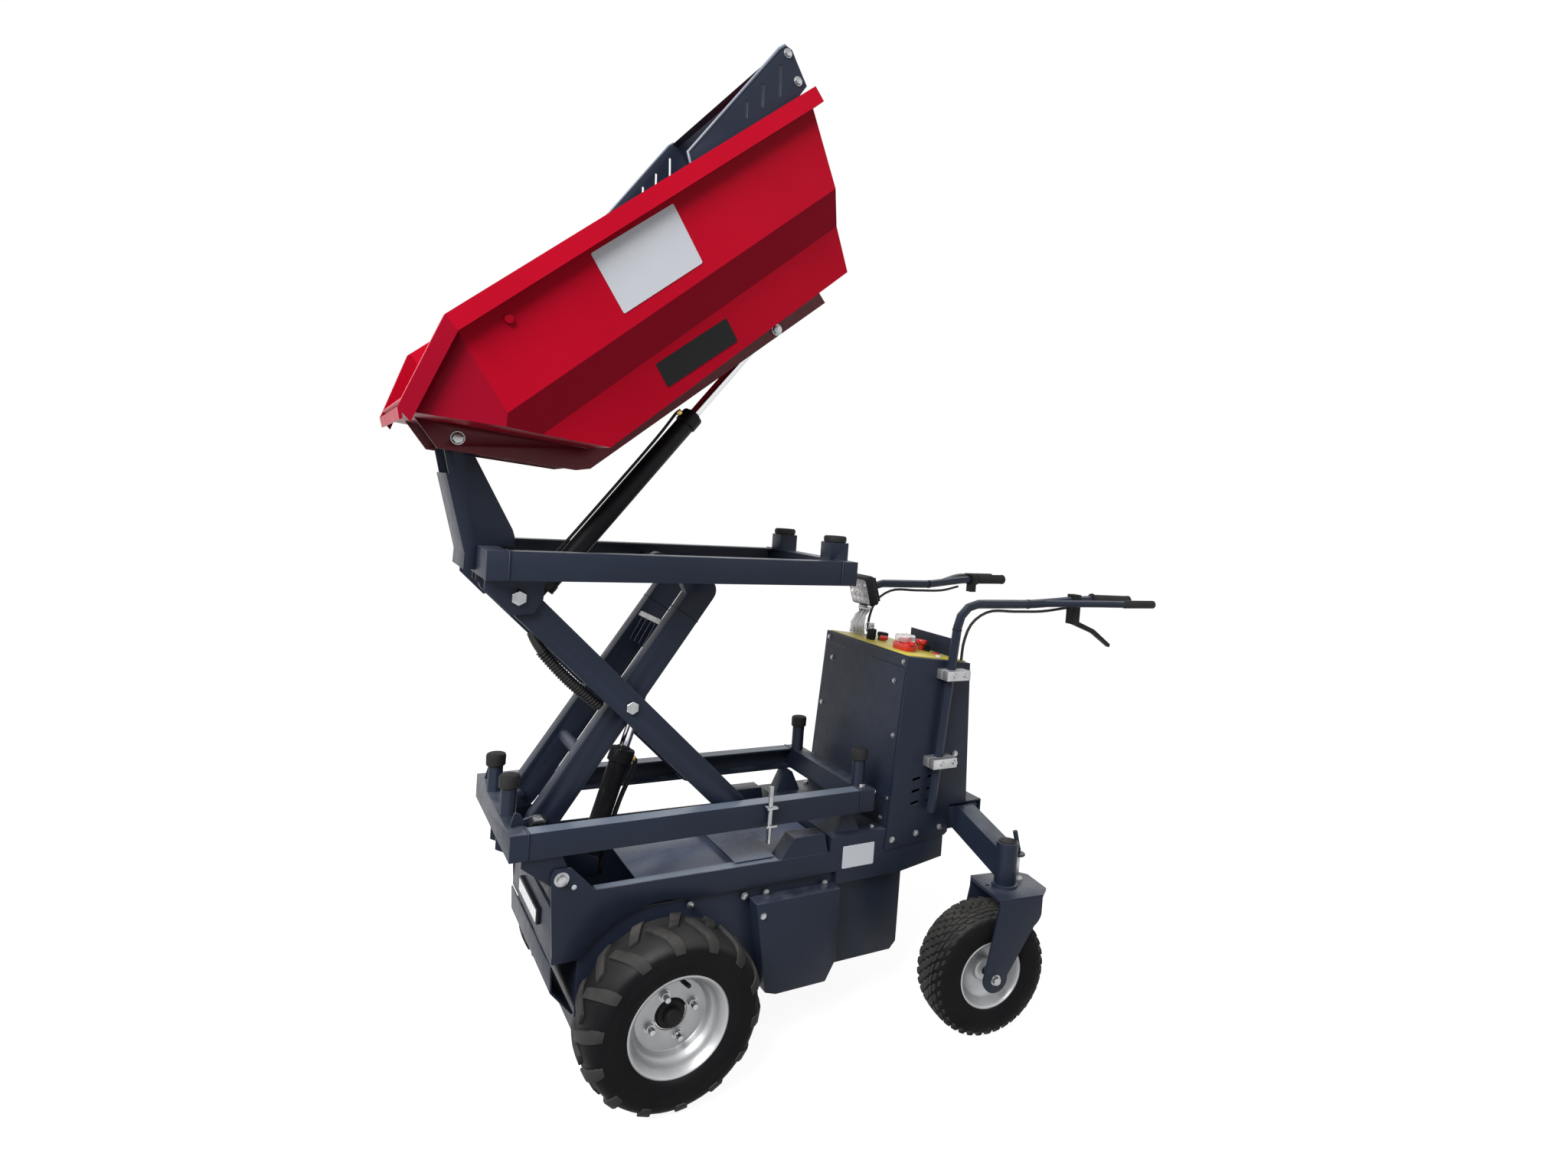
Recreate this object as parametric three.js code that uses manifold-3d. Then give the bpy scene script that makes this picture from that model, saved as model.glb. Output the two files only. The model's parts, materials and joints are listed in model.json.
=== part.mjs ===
// Walk-behind electric site dumper with a scissor lift and a high-tipping skip.
// Millimetres, +Z up, the front of the machine faces -Y and its left side is +X.
// Each sub-part below is built by its own short function and added as one named mesh.

import * as THREE from 'three';
import * as BufferGeometryUtils from 'three/addons/utils/BufferGeometryUtils.js';
import Module from 'manifold-3d';

const wasm = await Module();
wasm.setup();

// ---------------------------------------------------------------- driving dimensions

const fit = 0.4;            // gap left between pieces that touch
const running = 6;          // gap left beside a piece that moves

const frontWheel = { radius: 203, width: 163, track: 608, y: 336, rimRadius: 112, rimWidth: 142 };
const caster = {
  radius: 166, width: 128, rimRadius: 87, rimWidth: 112,
  pivotX: 395, pivotY: 1207, trail: 55, turn: -0.15,
  tubeRadius: 29, tubeLow: 382, tubeHigh: 492, plateHigh: 374,
};

const chassis = {
  half: 222, front: 99, rear: 1122, wall: 5, railTop: 464, railLow: 412, rearTop: 502, rearLow: 379,
  noseLow: 320, earZ: 506, stepY: 769, flange: 40,
};
const pan = { half: 212, front: 150, rear: 790, low: 150, top: 408, wall: 4 };
const rearBox = { half: 190, front: 795, rear: 1013, low: 150 };
const sideCover = { outer: 262, front: 552, rear: 783, low: 150, top: 385 };

const consoleBox = { half: 226, frontLow: 930, frontTop: 964, rearTop: 1168, rearLow: 1191, low: 446,
  topFront: 961, topRear: 937, wall: 3 };
const consolePlate = 3;
const channel = { front: 1126, rear: 1252, low: 460, top: 545, wall: 5, half: 218 };

const handlebar = { radius: 12.5, x: 246, lowY: 1056, lowZ: 542, topY: 1104, topZ: 1104, bend: 70,
  sleeveY: 1342, clampZ: [678, 913], gripRadius: 16, guardRadius: 10, guardGripRadius: 12 };
// the handle splits at the fork into an inner prong with the grip and an outer one, as [x, y, z]
const prongs = {
  fork: [256, 1388, 1107], elbow: [266, 1482, 1117], gripStart: [276, 1561, 1121], gripEnd: [295, 1699, 1120],
  guardOut: [352, 1528, 1119], guardTurn: [374, 1562, 1121], guardGrip: [375, 1590, 1121],
    guardEnd: [377, 1714, 1121],
};

const baseFrame = { half: 224, front: 0, rear: 888, low: 558, top: 615, rail: 42, beam: 36, wall: 5,
  rearBeam: 41, pinY: 585 };
const topFrame = { half: 224, front: -74, rear: 786, low: 1146, top: 1206, rail: 42, beam: 42, wall: 5 };
const armBar = { depth: 62, thick: 40, outerX: 152, innerX: 105 };

// scissor pivots, as [y, z]
const innerFoot = [72, 606];
const armCentre = [253, 857];
const outerHead = [-3, 1107];
const outerRollerZ = 585;
const innerRoller = [379, 1169];
const innerBarAngle = THREE.MathUtils.degToRad(57);
const rollerRadius = 14;

const liftFoot = [215, 440];
const liftEye = [350, 925];
const tipFoot = [62, 1080];
const tipEye = [811, -205];       // in the skip's own frame, from its pivot
const cylinder = { radius: 24, rod: 13, eye: 17, lug: 6 };

const tubPivot = [-124.6, 1427.4];
const tubTip = THREE.MathUtils.degToRad(41.5);
const tub = {
  rimHalf: 385, rimTop: 196, rimDrop: 34, bendY: 88, rearY: 1003, rake: 0.25, wall: 4,
  noseHalf: 262, noseY: -63, noseTop: 112, noseLow: 92,
  panelTopHalf: 366, creaseHalf: 347, creaseZ: 0, lowHalf: 300, lowZ: -72, floorHalf: 281, floorZ: -172,
  rampY: 200, lipZ: 88, lipY: -46,
};
const tubFrame = { half: 105, thick: 6 };
const guard = { half: 354, wall: 4, front: 663, rear: 1012, low: 156, top: 294 };
const tipPost = { half: 88, thick: 8, nose: 21 };
const bumper = { radius: 17, frontX: 86, frontY: 18, frontTop: 702, rearX: 176, rearY: 862, rearTop: 710,
  padX: 146, padHalf: 28, padTop: 1250 };

// ---------------------------------------------------------------- materials

const paint = () => new THREE.MeshStandardMaterial({ color: 0x3a4350, roughness: 0.45, metalness: 0.1 });
const red = () => new THREE.MeshStandardMaterial({ color: 0xa30a16, roughness: 0.35, metalness: 0.1 });
const black = () => new THREE.MeshStandardMaterial({ color: 0x121417, roughness: 0.55, metalness: 0.1 });
const rubber = () => new THREE.MeshStandardMaterial({ color: 0x1b1b1c, roughness: 0.9, metalness: 0 });
const steel = () => new THREE.MeshStandardMaterial({ color: 0xb8babc, roughness: 0.35, metalness: 0.9 });
const yellow = () => new THREE.MeshStandardMaterial({ color: 0xd9c22e, roughness: 0.5, metalness: 0 });
const lens = () => new THREE.MeshStandardMaterial({ color: 0xdfe4e8, roughness: 0.15, metalness: 0 });

// ---------------------------------------------------------------- solids

function toManifold(geometry) {
  const bare = geometry.clone();
  bare.deleteAttribute('normal');
  bare.deleteAttribute('uv');
  const merged = BufferGeometryUtils.mergeVertices(bare, 1e-4);
  return new wasm.Manifold(new wasm.Mesh({
    numProp: 3,
    vertProperties: new Float32Array(merged.attributes.position.array),
    triVerts: new Uint32Array(merged.index.array),
  }));
}

function toGeometry(manifold) {
  const mesh = manifold.getMesh();
  const geometry = new THREE.BufferGeometry();
  geometry.setAttribute('position', new THREE.BufferAttribute(new Float32Array(mesh.vertProperties), 3));
  geometry.setIndex(new THREE.BufferAttribute(new Uint32Array(mesh.triVerts), 1));
  return geometry;
}

function join(...shapes) {
  return toGeometry(shapes.map(toManifold).reduce((sum, next) => sum.add(next)));
}

function cut(shape, ...tools) {
  return toGeometry(tools.map(toManifold).reduce((rest, tool) => rest.subtract(tool), toManifold(shape)));
}

function meet(shape, other) {
  return toGeometry(toManifold(shape).intersect(toManifold(other)));
}

function hull(points) {
  return toGeometry(wasm.Manifold.hull(points));
}

function block(x0, x1, y0, y1, z0, z1) {
  const geometry = new THREE.BoxGeometry(x1 - x0, y1 - y0, z1 - z0);
  return geometry.translate((x0 + x1) / 2, (y0 + y1) / 2, (z0 + z1) / 2);
}

function outline(points) {
  return new THREE.Shape(points.map(([a, b]) => new THREE.Vector2(a, b)));
}

// a side-view outline, given as [y, z], made solid from x0 to x1
function sidePlate(shape, x0, x1, curveSegments = 5) {
  const geometry = new THREE.ExtrudeGeometry(shape, { depth: x1 - x0, bevelEnabled: false, curveSegments });
  const axes = new THREE.Matrix4().makeBasis(
    new THREE.Vector3(0, 1, 0), new THREE.Vector3(0, 0, 1), new THREE.Vector3(1, 0, 0));
  return geometry.applyMatrix4(axes).translate(x0, 0, 0);
}

// a plan outline, given as [x, y], made solid from z0 to z1
function planPlate(shape, z0, z1, curveSegments = 8) {
  const geometry = new THREE.ExtrudeGeometry(shape, { depth: z1 - z0, bevelEnabled: false, curveSegments });
  return geometry.translate(0, 0, z0);
}

// a round bar between two points
function bar(from, to, radius, sides = 12) {
  const a = new THREE.Vector3(...from);
  const b = new THREE.Vector3(...to);
  const along = b.clone().sub(a);
  const geometry = new THREE.CylinderGeometry(radius, radius, along.length(), sides);
  const turn = new THREE.Quaternion().setFromUnitVectors(new THREE.Vector3(0, 1, 0), along.normalize());
  return geometry.applyQuaternion(turn).translate(...a.add(b).multiplyScalar(0.5).toArray());
}

// a round bar across the machine at [y, z]
function crossBar([y, z], radius, x0, x1, sides = 12) {
  return bar([x0, y, z], [x1, y, z], radius, sides);
}

// a ring or disc turned about the X axis from an [r, x] profile
function turned(profile, sides) {
  const points = profile.map(([r, x]) => new THREE.Vector2(r, x)).reverse();
  return new THREE.LatheGeometry(points, sides).rotateZ(-Math.PI / 2);
}

// a flat link with round ends between two [y, z] points
function link(from, to, radius, x0, x1) {
  const angle = Math.atan2(to[1] - from[1], to[0] - from[0]);
  const shape = new THREE.Shape();
  shape.absarc(to[0], to[1], radius, angle - Math.PI / 2, angle + Math.PI / 2);
  shape.absarc(from[0], from[1], radius, angle + Math.PI / 2, angle + 3 * Math.PI / 2);
  shape.closePath();
  return sidePlate(shape, x0, x1);
}

function mirrored(geometry) {
  return toGeometry(toManifold(geometry).mirror([1, 0, 0]));
}

function bothSides(geometry) {
  return [geometry, mirrored(geometry)];
}

// ---------------------------------------------------------------- scene graph

const machine = new THREE.Group();

function add(parent, name, geometry, material) {
  const mesh = new THREE.Mesh(geometry, material);
  mesh.name = name;
  parent.add(mesh);
  return mesh;
}

function addPair(parent, name, geometry, material) {
  add(parent, `${name}_left`, geometry, material());
  add(parent, `${name}_right`, mirrored(geometry), material());
}

// ---------------------------------------------------------------- wheels

function tyreShape(radius, width, rimRadius, rimWidth, sides) {
  const half = width / 2;
  const bead = rimWidth / 2 - 4 - fit;
  const seat = rimRadius - 9 + fit;
  const side = [[seat, bead], [rimRadius + 2, bead], [rimRadius + 16, half], [radius - 24, half],
    [radius, half - 26]];
  const other = side.map(([r, x]) => [r, -x]).reverse();
  return turned([...side, ...other, side[0]], sides);
}

function rimShape(rimRadius, rimWidth, sides) {
  const edge = rimWidth / 2;
  const seat = rimRadius - 9;
  const inside = seat - 4;
  return turned([
    [0, -edge * 0.5], [30, -edge * 0.5], [30, 8], [inside, 8], [inside, -edge],
    [rimRadius, -edge], [rimRadius, -edge + 4], [seat, -edge + 4], [seat, edge - 4], [rimRadius, edge - 4],
    [rimRadius, edge], [inside, edge], [inside - 4, 14], [30, 14], [30, edge * 0.55], [0, edge * 0.55],
  ].reverse(), sides);
}

function frontWheels() {
  const { radius, width, track, y, rimRadius, rimWidth } = frontWheel;
  const sides = { left: 1, right: -1 };
  for (const [side, sign] of Object.entries(sides)) {
    const hub = new THREE.Group();
    hub.position.set(sign * track / 2, y, radius);
    hub.rotation.z = sign > 0 ? 0 : Math.PI;
    add(hub, `front_tyre_${side}`, tyreShape(radius, width, rimRadius, rimWidth, 28), rubber());
    add(hub, `front_rim_${side}`, rimShape(rimRadius, rimWidth, 28), steel());
    machine.add(hub);
  }
}

function stubAxle() {
  const { radius, track, y, rimWidth } = frontWheel;
  const end = track / 2 - rimWidth * 0.25 - fit;
  const plate = bar([pan.half + fit, y, radius], [pan.half + 7, y, radius], 48, 16);
  return join(plate, bar([pan.half + fit, y, radius], [end, y, radius], 19));
}

// ---------------------------------------------------------------- casters

function casterFork() {
  const { radius, trail, plateHigh, tubeHigh, tubeLow } = caster;
  const legIn = caster.width / 2 + 8;
  const legOut = legIn + 7;
  const low = plateHigh - 7;
  const top = outline([[-legOut, -56], [-legOut + 12, -64], [legOut - 8, -62], [legOut, -58],
    [legOut, 70], [46, 102], [-46, 102], [-legOut, 70]]);
  const leg = new THREE.Shape();
  leg.moveTo(70, plateHigh);
  leg.lineTo(70, low - 45);
  leg.quadraticCurveTo(66, low - 62, 50, low - 74);
  leg.lineTo(-trail + 34, radius + 7);
  leg.absarc(-trail, radius, 34.7, 0.2, -Math.PI, true);
  leg.lineTo(-58, low - 20);
  leg.lineTo(-58, plateHigh);
  leg.closePath();
  const near = sidePlate(leg, legIn, legOut, 6);
  const axle = bar([-legIn - 3, -trail, radius], [legIn + 3, -trail, radius], 9, 12);
  const stem = bar([0, 0, plateHigh - 4], [0, 0, tubeLow - fit], caster.tubeRadius + 6, 16);
  const kingPin = bar([0, 0, plateHigh - 4], [0, 0, tubeHigh - 12], 11);
  return join(planPlate(top, low, plateHigh), near, mirrored(near), axle, stem, kingPin);
}

function casterWheel() {
  return {
    tyre: tyreShape(caster.radius, caster.width, caster.rimRadius, caster.rimWidth, 24),
    rim: cut(rimShape(caster.rimRadius, caster.rimWidth, 24),
      bar([-90, 0, 0], [90, 0, 0], 9 + fit, 12)),
  };
}

function casters() {
  for (const [side, sign] of Object.entries({ left: 1, right: -1 })) {
    const swivel = new THREE.Group();
    swivel.position.set(sign * caster.pivotX, caster.pivotY, 0);
    swivel.rotation.z = sign * caster.turn;
    add(swivel, `caster_fork_${side}`, casterFork(), paint());
    const wheel = new THREE.Group();
    wheel.position.set(0, -caster.trail, caster.radius);
    wheel.rotation.z = sign > 0 ? 0 : Math.PI;
    const { tyre, rim } = casterWheel();
    add(wheel, `caster_tyre_${side}`, tyre, rubber());
    add(wheel, `caster_rim_${side}`, rim, steel());
    swivel.add(wheel);
    machine.add(swivel);
  }
}

function casterArm() {
  const { pivotX, pivotY, tubeRadius, tubeLow, tubeHigh } = caster;
  const inside = channel.wall + 8;
  const high = channel.top - channel.wall - 5;
  const slot = block(110, 216, channel.front + inside, channel.rear - inside, high - 62, high);
  const shape = outline([[205, high - 62], [pivotX, tubeLow + 15], [pivotX, tubeLow + 92], [230, high],
    [205, high]]);
  const arm = new THREE.ExtrudeGeometry(shape, { depth: 56, bevelEnabled: false });
  arm.applyMatrix4(new THREE.Matrix4().makeBasis(
    new THREE.Vector3(1, 0, 0), new THREE.Vector3(0, 0, 1), new THREE.Vector3(0, -1, 0)));
  arm.translate(0, (channel.front + channel.rear) / 2 + 28, 0);
  arm.applyMatrix4(new THREE.Matrix4().set(
    1, 0, 0, 0,
    (pivotY - (channel.front + channel.rear) / 2) / (pivotX - 205), 1, 0,
    -205 * (pivotY - (channel.front + channel.rear) / 2) / (pivotX - 205),
    0, 0, 1, 0,
    0, 0, 0, 1));
  const tube = bar([pivotX, pivotY, tubeLow], [pivotX, pivotY, tubeHigh], tubeRadius, 16);
  const bore = bar([pivotX, pivotY, tubeLow - 5], [pivotX, pivotY, tubeHigh - 10], 12);
  return cut(join(slot, arm, tube), bore);
}

// ---------------------------------------------------------------- chassis

function chassisSide() {
  const c = chassis;
  const archRadius = frontWheel.radius + 12;
  const shape = new THREE.Shape();
  const wheelZ = frontWheel.radius;
  const frontLeg = Math.sqrt(archRadius ** 2 - (c.noseLow - wheelZ) ** 2);
  shape.moveTo(c.front, c.noseLow);
  shape.lineTo(frontWheel.y - frontLeg, c.noseLow);
  shape.absarc(frontWheel.y, wheelZ, archRadius, Math.PI - Math.asin((c.noseLow - wheelZ) / archRadius),
    Math.asin((c.railLow - wheelZ) / archRadius), true);
  shape.lineTo(pan.rear, c.railLow);
  shape.lineTo(pan.rear, c.rearLow);
  shape.lineTo(983, c.rearLow);
  shape.lineTo(c.rear, c.rearLow + 22);
  shape.lineTo(c.rear, c.rearTop);
  shape.lineTo(c.stepY, c.rearTop);
  shape.lineTo(c.stepY, c.railTop);
  shape.lineTo(182, c.railTop + 6);
  shape.lineTo(128, c.earZ + 22);
  shape.lineTo(92, c.earZ + 22);
  shape.lineTo(86, c.earZ + 8);
  shape.closePath();
  return sidePlate(shape, c.half - c.wall, c.half, 12);
}

function chassisFrame() {
  const c = chassis;
  const inner = c.half - c.wall;
  const flange = block(c.half - c.flange, c.half - 1, 186, c.stepY + 2, c.railTop - 5, c.railTop);
  const raised = sidePlate(outline([[629, c.railTop - 2], [664, c.railTop + 50], [750, c.railTop + 50],
    [762, c.railTop - 2]]), c.half - c.flange - 14, c.half - 2);
  const rest = sidePlate(outline([[790, c.rearTop - 2], [816, baseFrame.low - 1], [838, baseFrame.low - 1],
    [866, c.rearTop - 2]]), 150, 196);
  const deck = block(-inner - 1, inner + 1, c.stepY, c.rear, c.rearTop - 5, c.rearTop);
  const back = block(-inner - 1, inner + 1, c.rear - 5, c.rear, c.rearLow + 22, c.rearTop - 1);
  const step = block(-inner - 1, inner + 1, c.stepY, c.stepY + 5, c.railLow, c.rearTop - 1);
  const front = block(-inner - 1, inner + 1, c.front + 1, c.front + 6, c.noseLow, 430);
  const tie = block(-inner - 1, inner + 1, 500, 540, c.railLow, c.railLow + 6);
  return join(chassisSide(), mirrored(chassisSide()), deck, back, step, front, tie,
    ...bothSides(flange), ...bothSides(raised), ...bothSides(rest));
}

function deckPlate() {
  const shape = outline([[300, 436], [430, 450], [640, 450], [764, 478], [764, 482], [640, 454], [430, 454],
    [300, 440]]);
  return sidePlate(shape, -(chassis.half - chassis.flange - 18), chassis.half - chassis.flange - 18);
}

function frontPanel() {
  const shape = outline([[95, 316], [98, 258], [146, 200], [150, 203], [102, 260], [98.6, 316]]);
  return sidePlate(shape, -chassis.half, chassis.half);
}

function lightBar() {
  return block(-100, 100, 89, chassis.front - fit, 356, 392);
}

function chassisPan() {
  const p = pan;
  const shell = block(-p.half, p.half, p.front + 4, p.rear, p.low, p.top);
  return cut(shell, block(-p.half + p.wall, p.half - p.wall, p.front + 4 + p.wall, p.rear - p.wall,
    p.low + p.wall, p.top + 5));
}

function batteryBox() {
  return block(-pan.half + 30, pan.half - 30, 400, pan.rear - 30, pan.low + pan.wall + fit, pan.top - 60);
}

function driveUnit() {
  const body = block(-90, 90, 250, 380, pan.low + pan.wall + fit, 290);
  const end = pan.half - pan.wall - fit;
  return join(body, crossBar([frontWheel.y, frontWheel.radius], 40, -end, end, 16));
}

function sideCoverShape() {
  const s = sideCover;
  const shape = outline([[s.front, s.top], [591, s.low + 10], [620, s.low], [757, s.low],
    [s.rear, s.low + 50], [s.rear, s.top]]);
  return sidePlate(shape, pan.half + fit, s.outer);
}

function rearBoxShape() {
  const r = rearBox;
  const shape = outline([[r.front, r.low], [r.rear - 18, r.low], [r.rear, r.low + 20],
    [r.rear, chassis.rearTop - 12], [r.front, chassis.rearTop - 12]]);
  const wall = 4;
  const hollow = block(-r.half + wall, r.half - wall, r.front + wall, r.rear - 22, r.low + wall,
    chassis.rearTop);
  return cut(sidePlate(shape, -r.half, r.half), hollow);
}

function rearChannel() {
  const c = channel;
  const outer = block(-c.half, c.half, c.front, c.rear, c.low, c.top);
  return cut(outer, block(-c.half - 5, c.half + 5, c.front + c.wall, c.rear - c.wall, c.low - 5,
    c.top - c.wall));
}

// ---------------------------------------------------------------- console

function consoleBody() {
  const c = consoleBox;
  const seat = chassis.rearTop + fit;
  const overChannel = channel.top + fit;
  const frontAt = (z) => c.frontLow + (c.frontTop - c.frontLow) * (z - c.low) / (c.topFront - c.low);
  const core = sidePlate(outline([[frontAt(seat), seat], [channel.front - fit, seat],
    [channel.front - fit, overChannel], [c.rearLow, overChannel], [c.rearTop, c.topRear],
    [c.frontTop, c.topFront]]), -c.half, c.half);
  const skirt = sidePlate(outline([[c.frontLow, c.low], [channel.front - 2, c.low + 16],
    [channel.front + 7, 470],
    [channel.front + 7, overChannel + 30], [frontAt(seat + 30), seat + 30]]), chassis.half + fit, c.half);
  const w = c.wall;
  const hollow = sidePlate(outline([[c.frontLow + 8 + w, seat - 5], [channel.front - fit - w, seat - 5],
    [channel.front - fit - w, overChannel + w], [c.rearLow - w - 1, overChannel + w],
    [c.rearTop - w, c.topRear - w], [c.frontTop + w, c.topFront - w]]), -c.half + w, c.half - w);
  return join(cut(core, hollow), ...bothSides(skirt));
}

// from the console top's own frame, y back from its front edge and z up from its face, to the machine's
function onConsole(piece) {
  const c = consoleBox;
  const slope = Math.atan2(c.topRear - c.topFront, c.rearTop - c.frontTop);
  return piece.rotateX(slope).translate(0, c.frontTop, c.topFront);
}

function consoleTop() {
  return onConsole(block(-210, 210, 3, 200, fit, consolePlate));
}

function isolator() {
  const base = block(78, 140, 40, 84, consolePlate + fit, consolePlate + 24);
  return onConsole(join(base, block(84, 134, 44, 82, consolePlate + 22, consolePlate + 44)));
}

function keySwitch() {
  return onConsole(bar([-67, 58, consolePlate + fit], [-67, 58, consolePlate + 32], 14, 16));
}

function stopButton() {
  const stem = bar([60, 150, consolePlate + fit], [60, 150, consolePlate + 22], 9);
  return onConsole(join(stem, bar([60, 150, consolePlate + 18], [60, 150, consolePlate + 30], 17, 16)));
}

function consoleScreen() {
  return block(-45, 172, 1148, 1152, 943, 995);
}

function workLight() {
  const x = -150;
  const foot = [x - 20, 1040, consoleBox.topFront - 0.5];
  const knee = [x - 6, 1060, 1018];
  const lamp = block(-58, 58, -15, 15, -45, 45).rotateX(0.31).translate(x, 1034, 1095);
  return join(lamp, bar(foot, knee, 8), bar(knee, [x, 1044, 1066], 8));
}

// a round tube swept along straight runs and bends
function tube(path, radius, steps) {
  const section = new THREE.Shape().absarc(0, 0, radius, 0, Math.PI * 2);
  return new THREE.ExtrudeGeometry(section, { steps, curveSegments: 4, extrudePath: path });
}

function point(place) {
  return new THREE.Vector3(...place);
}

function handlebarShape() {
  const h = handlebar;
  const path = new THREE.CurvePath();
  const bendStart = point([h.x, h.topY - 6, h.topZ - h.bend]);
  const bendEnd = point([h.x, h.topY + h.bend, h.topZ]);
  const sleeve = point([h.x, h.sleeveY, h.topZ]);
  const gripStart = point(prongs.gripStart);
  path.add(new THREE.LineCurve3(point([h.x, h.lowY, h.lowZ]), bendStart));
  path.add(new THREE.QuadraticBezierCurve3(bendStart, point([h.x, h.topY, h.topZ]), bendEnd));
  path.add(new THREE.LineCurve3(bendEnd, sleeve));
  path.add(new THREE.QuadraticBezierCurve3(sleeve, point(prongs.fork), point(prongs.elbow)));
  path.add(new THREE.LineCurve3(point(prongs.elbow), gripStart.clone().lerp(point(prongs.gripEnd), -0.012)));
  const guard = new THREE.CurvePath();
  guard.add(new THREE.LineCurve3(point(prongs.fork), point(prongs.guardOut)));
  guard.add(new THREE.QuadraticBezierCurve3(point(prongs.guardOut), point(prongs.guardTurn),
    point(prongs.guardGrip)));
  return join(tube(path, h.radius, 30), tube(guard, h.guardRadius, 14), ...h.clampZ.map(handleClamp));
}

function gripShape() {
  return bar(prongs.gripStart, prongs.gripEnd, handlebar.gripRadius);
}

function guardGripShape() {
  const start = point(prongs.guardGrip).lerp(point(prongs.guardEnd), 0.004);
  return bar(start.toArray(), prongs.guardEnd, handlebar.guardGripRadius);
}

// the brake clamp and its lever under the left inner prong
function brakeLever() {
  const clamp = block(252, 285, 1488, 1512, 1050, 1136);
  const seat = bar([264, 1466, 1115.1], [273, 1536, 1121], handlebar.radius + 1.5, 12);
  const lever = sidePlate(outline([[1490, 1066], [1512, 1060], [1590, 1032], [1662, 986], [1658, 977],
    [1586, 1020],
    [1508, 1046], [1490, 1052]]), 258, 272);
  return join(cut(clamp, seat), lever);
}

// the twist throttle's collar and switch under the right inner prong
function throttle() {
  const seat = bar([-264, 1466, 1115.1], [-280, 1592, 1124], handlebar.radius + 1.5, 12);
  return cut(join(bar([-272.5, 1532, 1119], [-275.5, 1557, 1121], 21, 16),
    block(-288, -262, 1534, 1556, 1078, 1110)),
    seat);
}

// a thin cable strapped down the handle, from the lever to the console
function cable(sign) {
  const line = new THREE.CatmullRomCurve3([[sign * 263, 1478, 1096], [sign * 248, 1400, 1084],
    [sign * 246, 1300, 1083],
    [sign * 246, 1200, 1082], [sign * 246, 1146, 1050], [sign * 246, 1124, 1000],
    [sign * 246, 1120, 950]].map(point));
  return tube(line, 4, 22);
}

// a split clamp that holds the handle against the console
function handleClamp(z) {
  const h = handlebar;
  const y = h.lowY + (z - h.lowZ) * (h.topY - 6 - h.lowY) / (h.topZ - h.bend - h.lowZ);
  return block(consoleBox.half + fit, h.x + 27, y - 24, y + 24, z - 13, z + 13);
}

// ---------------------------------------------------------------- base frame

function rails(frame) {
  const web = block(frame.half - frame.wall, frame.half, frame.front, frame.rear, frame.low, frame.top);
  const top = block(frame.half - frame.rail, frame.half, frame.front, frame.rear, frame.top - frame.wall,
    frame.top);
  const low = block(frame.half - frame.rail, frame.half, frame.front, frame.rear, frame.low,
    frame.low + frame.wall);
  return join(web, top, low);
}

function baseFrameShape() {
  const f = baseFrame;
  const rail = rails(f);
  const front = block(-f.half, f.half, f.front, f.front + f.beam, f.low, f.top);
  const rear = block(-f.half, f.half, f.rear - f.rearBeam, f.rear, f.low, f.top);
  const frontPost = bar([bumper.frontX, bumper.frontY, f.top - 2],
    [bumper.frontX, bumper.frontY, bumper.frontTop],
    bumper.radius);
  const rearPost = bar([bumper.rearX, bumper.rearY, f.top - 2], [bumper.rearX, bumper.rearY, bumper.rearTop],
    bumper.radius);
  const foot = join(link([f.front + f.beam - 2, innerFoot[1] - 10], innerFoot, 17, 131 - 1, 137),
    crossBar(innerFoot, 9, 62, 136));
  const ear = sidePlate(outline([[f.front + 26, f.low + 2], [107, f.low + 2], [134, chassis.earZ - 6],
    [122, chassis.earZ - 22], [98, chassis.earZ - 22], [f.front + 26, f.low - 18]]),
  chassis.half - chassis.wall - 9, chassis.half - chassis.wall - 1);
  const hanger = sidePlate(outline([[f.front + 6, f.low + 2], [f.front + 60, f.low + 2], [238, 462],
    [238, 420],
    [192, 420], [f.front + 6, f.low - 40]]), 31, 37);
  return join(rail, mirrored(rail), front, rear, ...bothSides(frontPost), ...bothSides(rearPost),
    ...bothSides(foot), ...bothSides(ear), ...bothSides(hanger),
    crossBar(liftFoot, 9, -34, 34));
}

function lockPin() {
  const x = baseFrame.half + 10;
  const pin = bar([x, baseFrame.pinY, 520], [x, baseFrame.pinY, 658], 6, 12);
  const low = block(baseFrame.half + fit, x + 14, baseFrame.pinY - 14, baseFrame.pinY + 14, 562, 567);
  const high = block(baseFrame.half + fit, x + 14, baseFrame.pinY - 14, baseFrame.pinY + 14, 606, 611);
  return join(pin, low, high);
}

// ---------------------------------------------------------------- scissor arms

function alongBar(distance) {
  return [armCentre[0] + distance * Math.cos(innerBarAngle),
    armCentre[1] + distance * Math.sin(innerBarAngle)];
}

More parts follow.
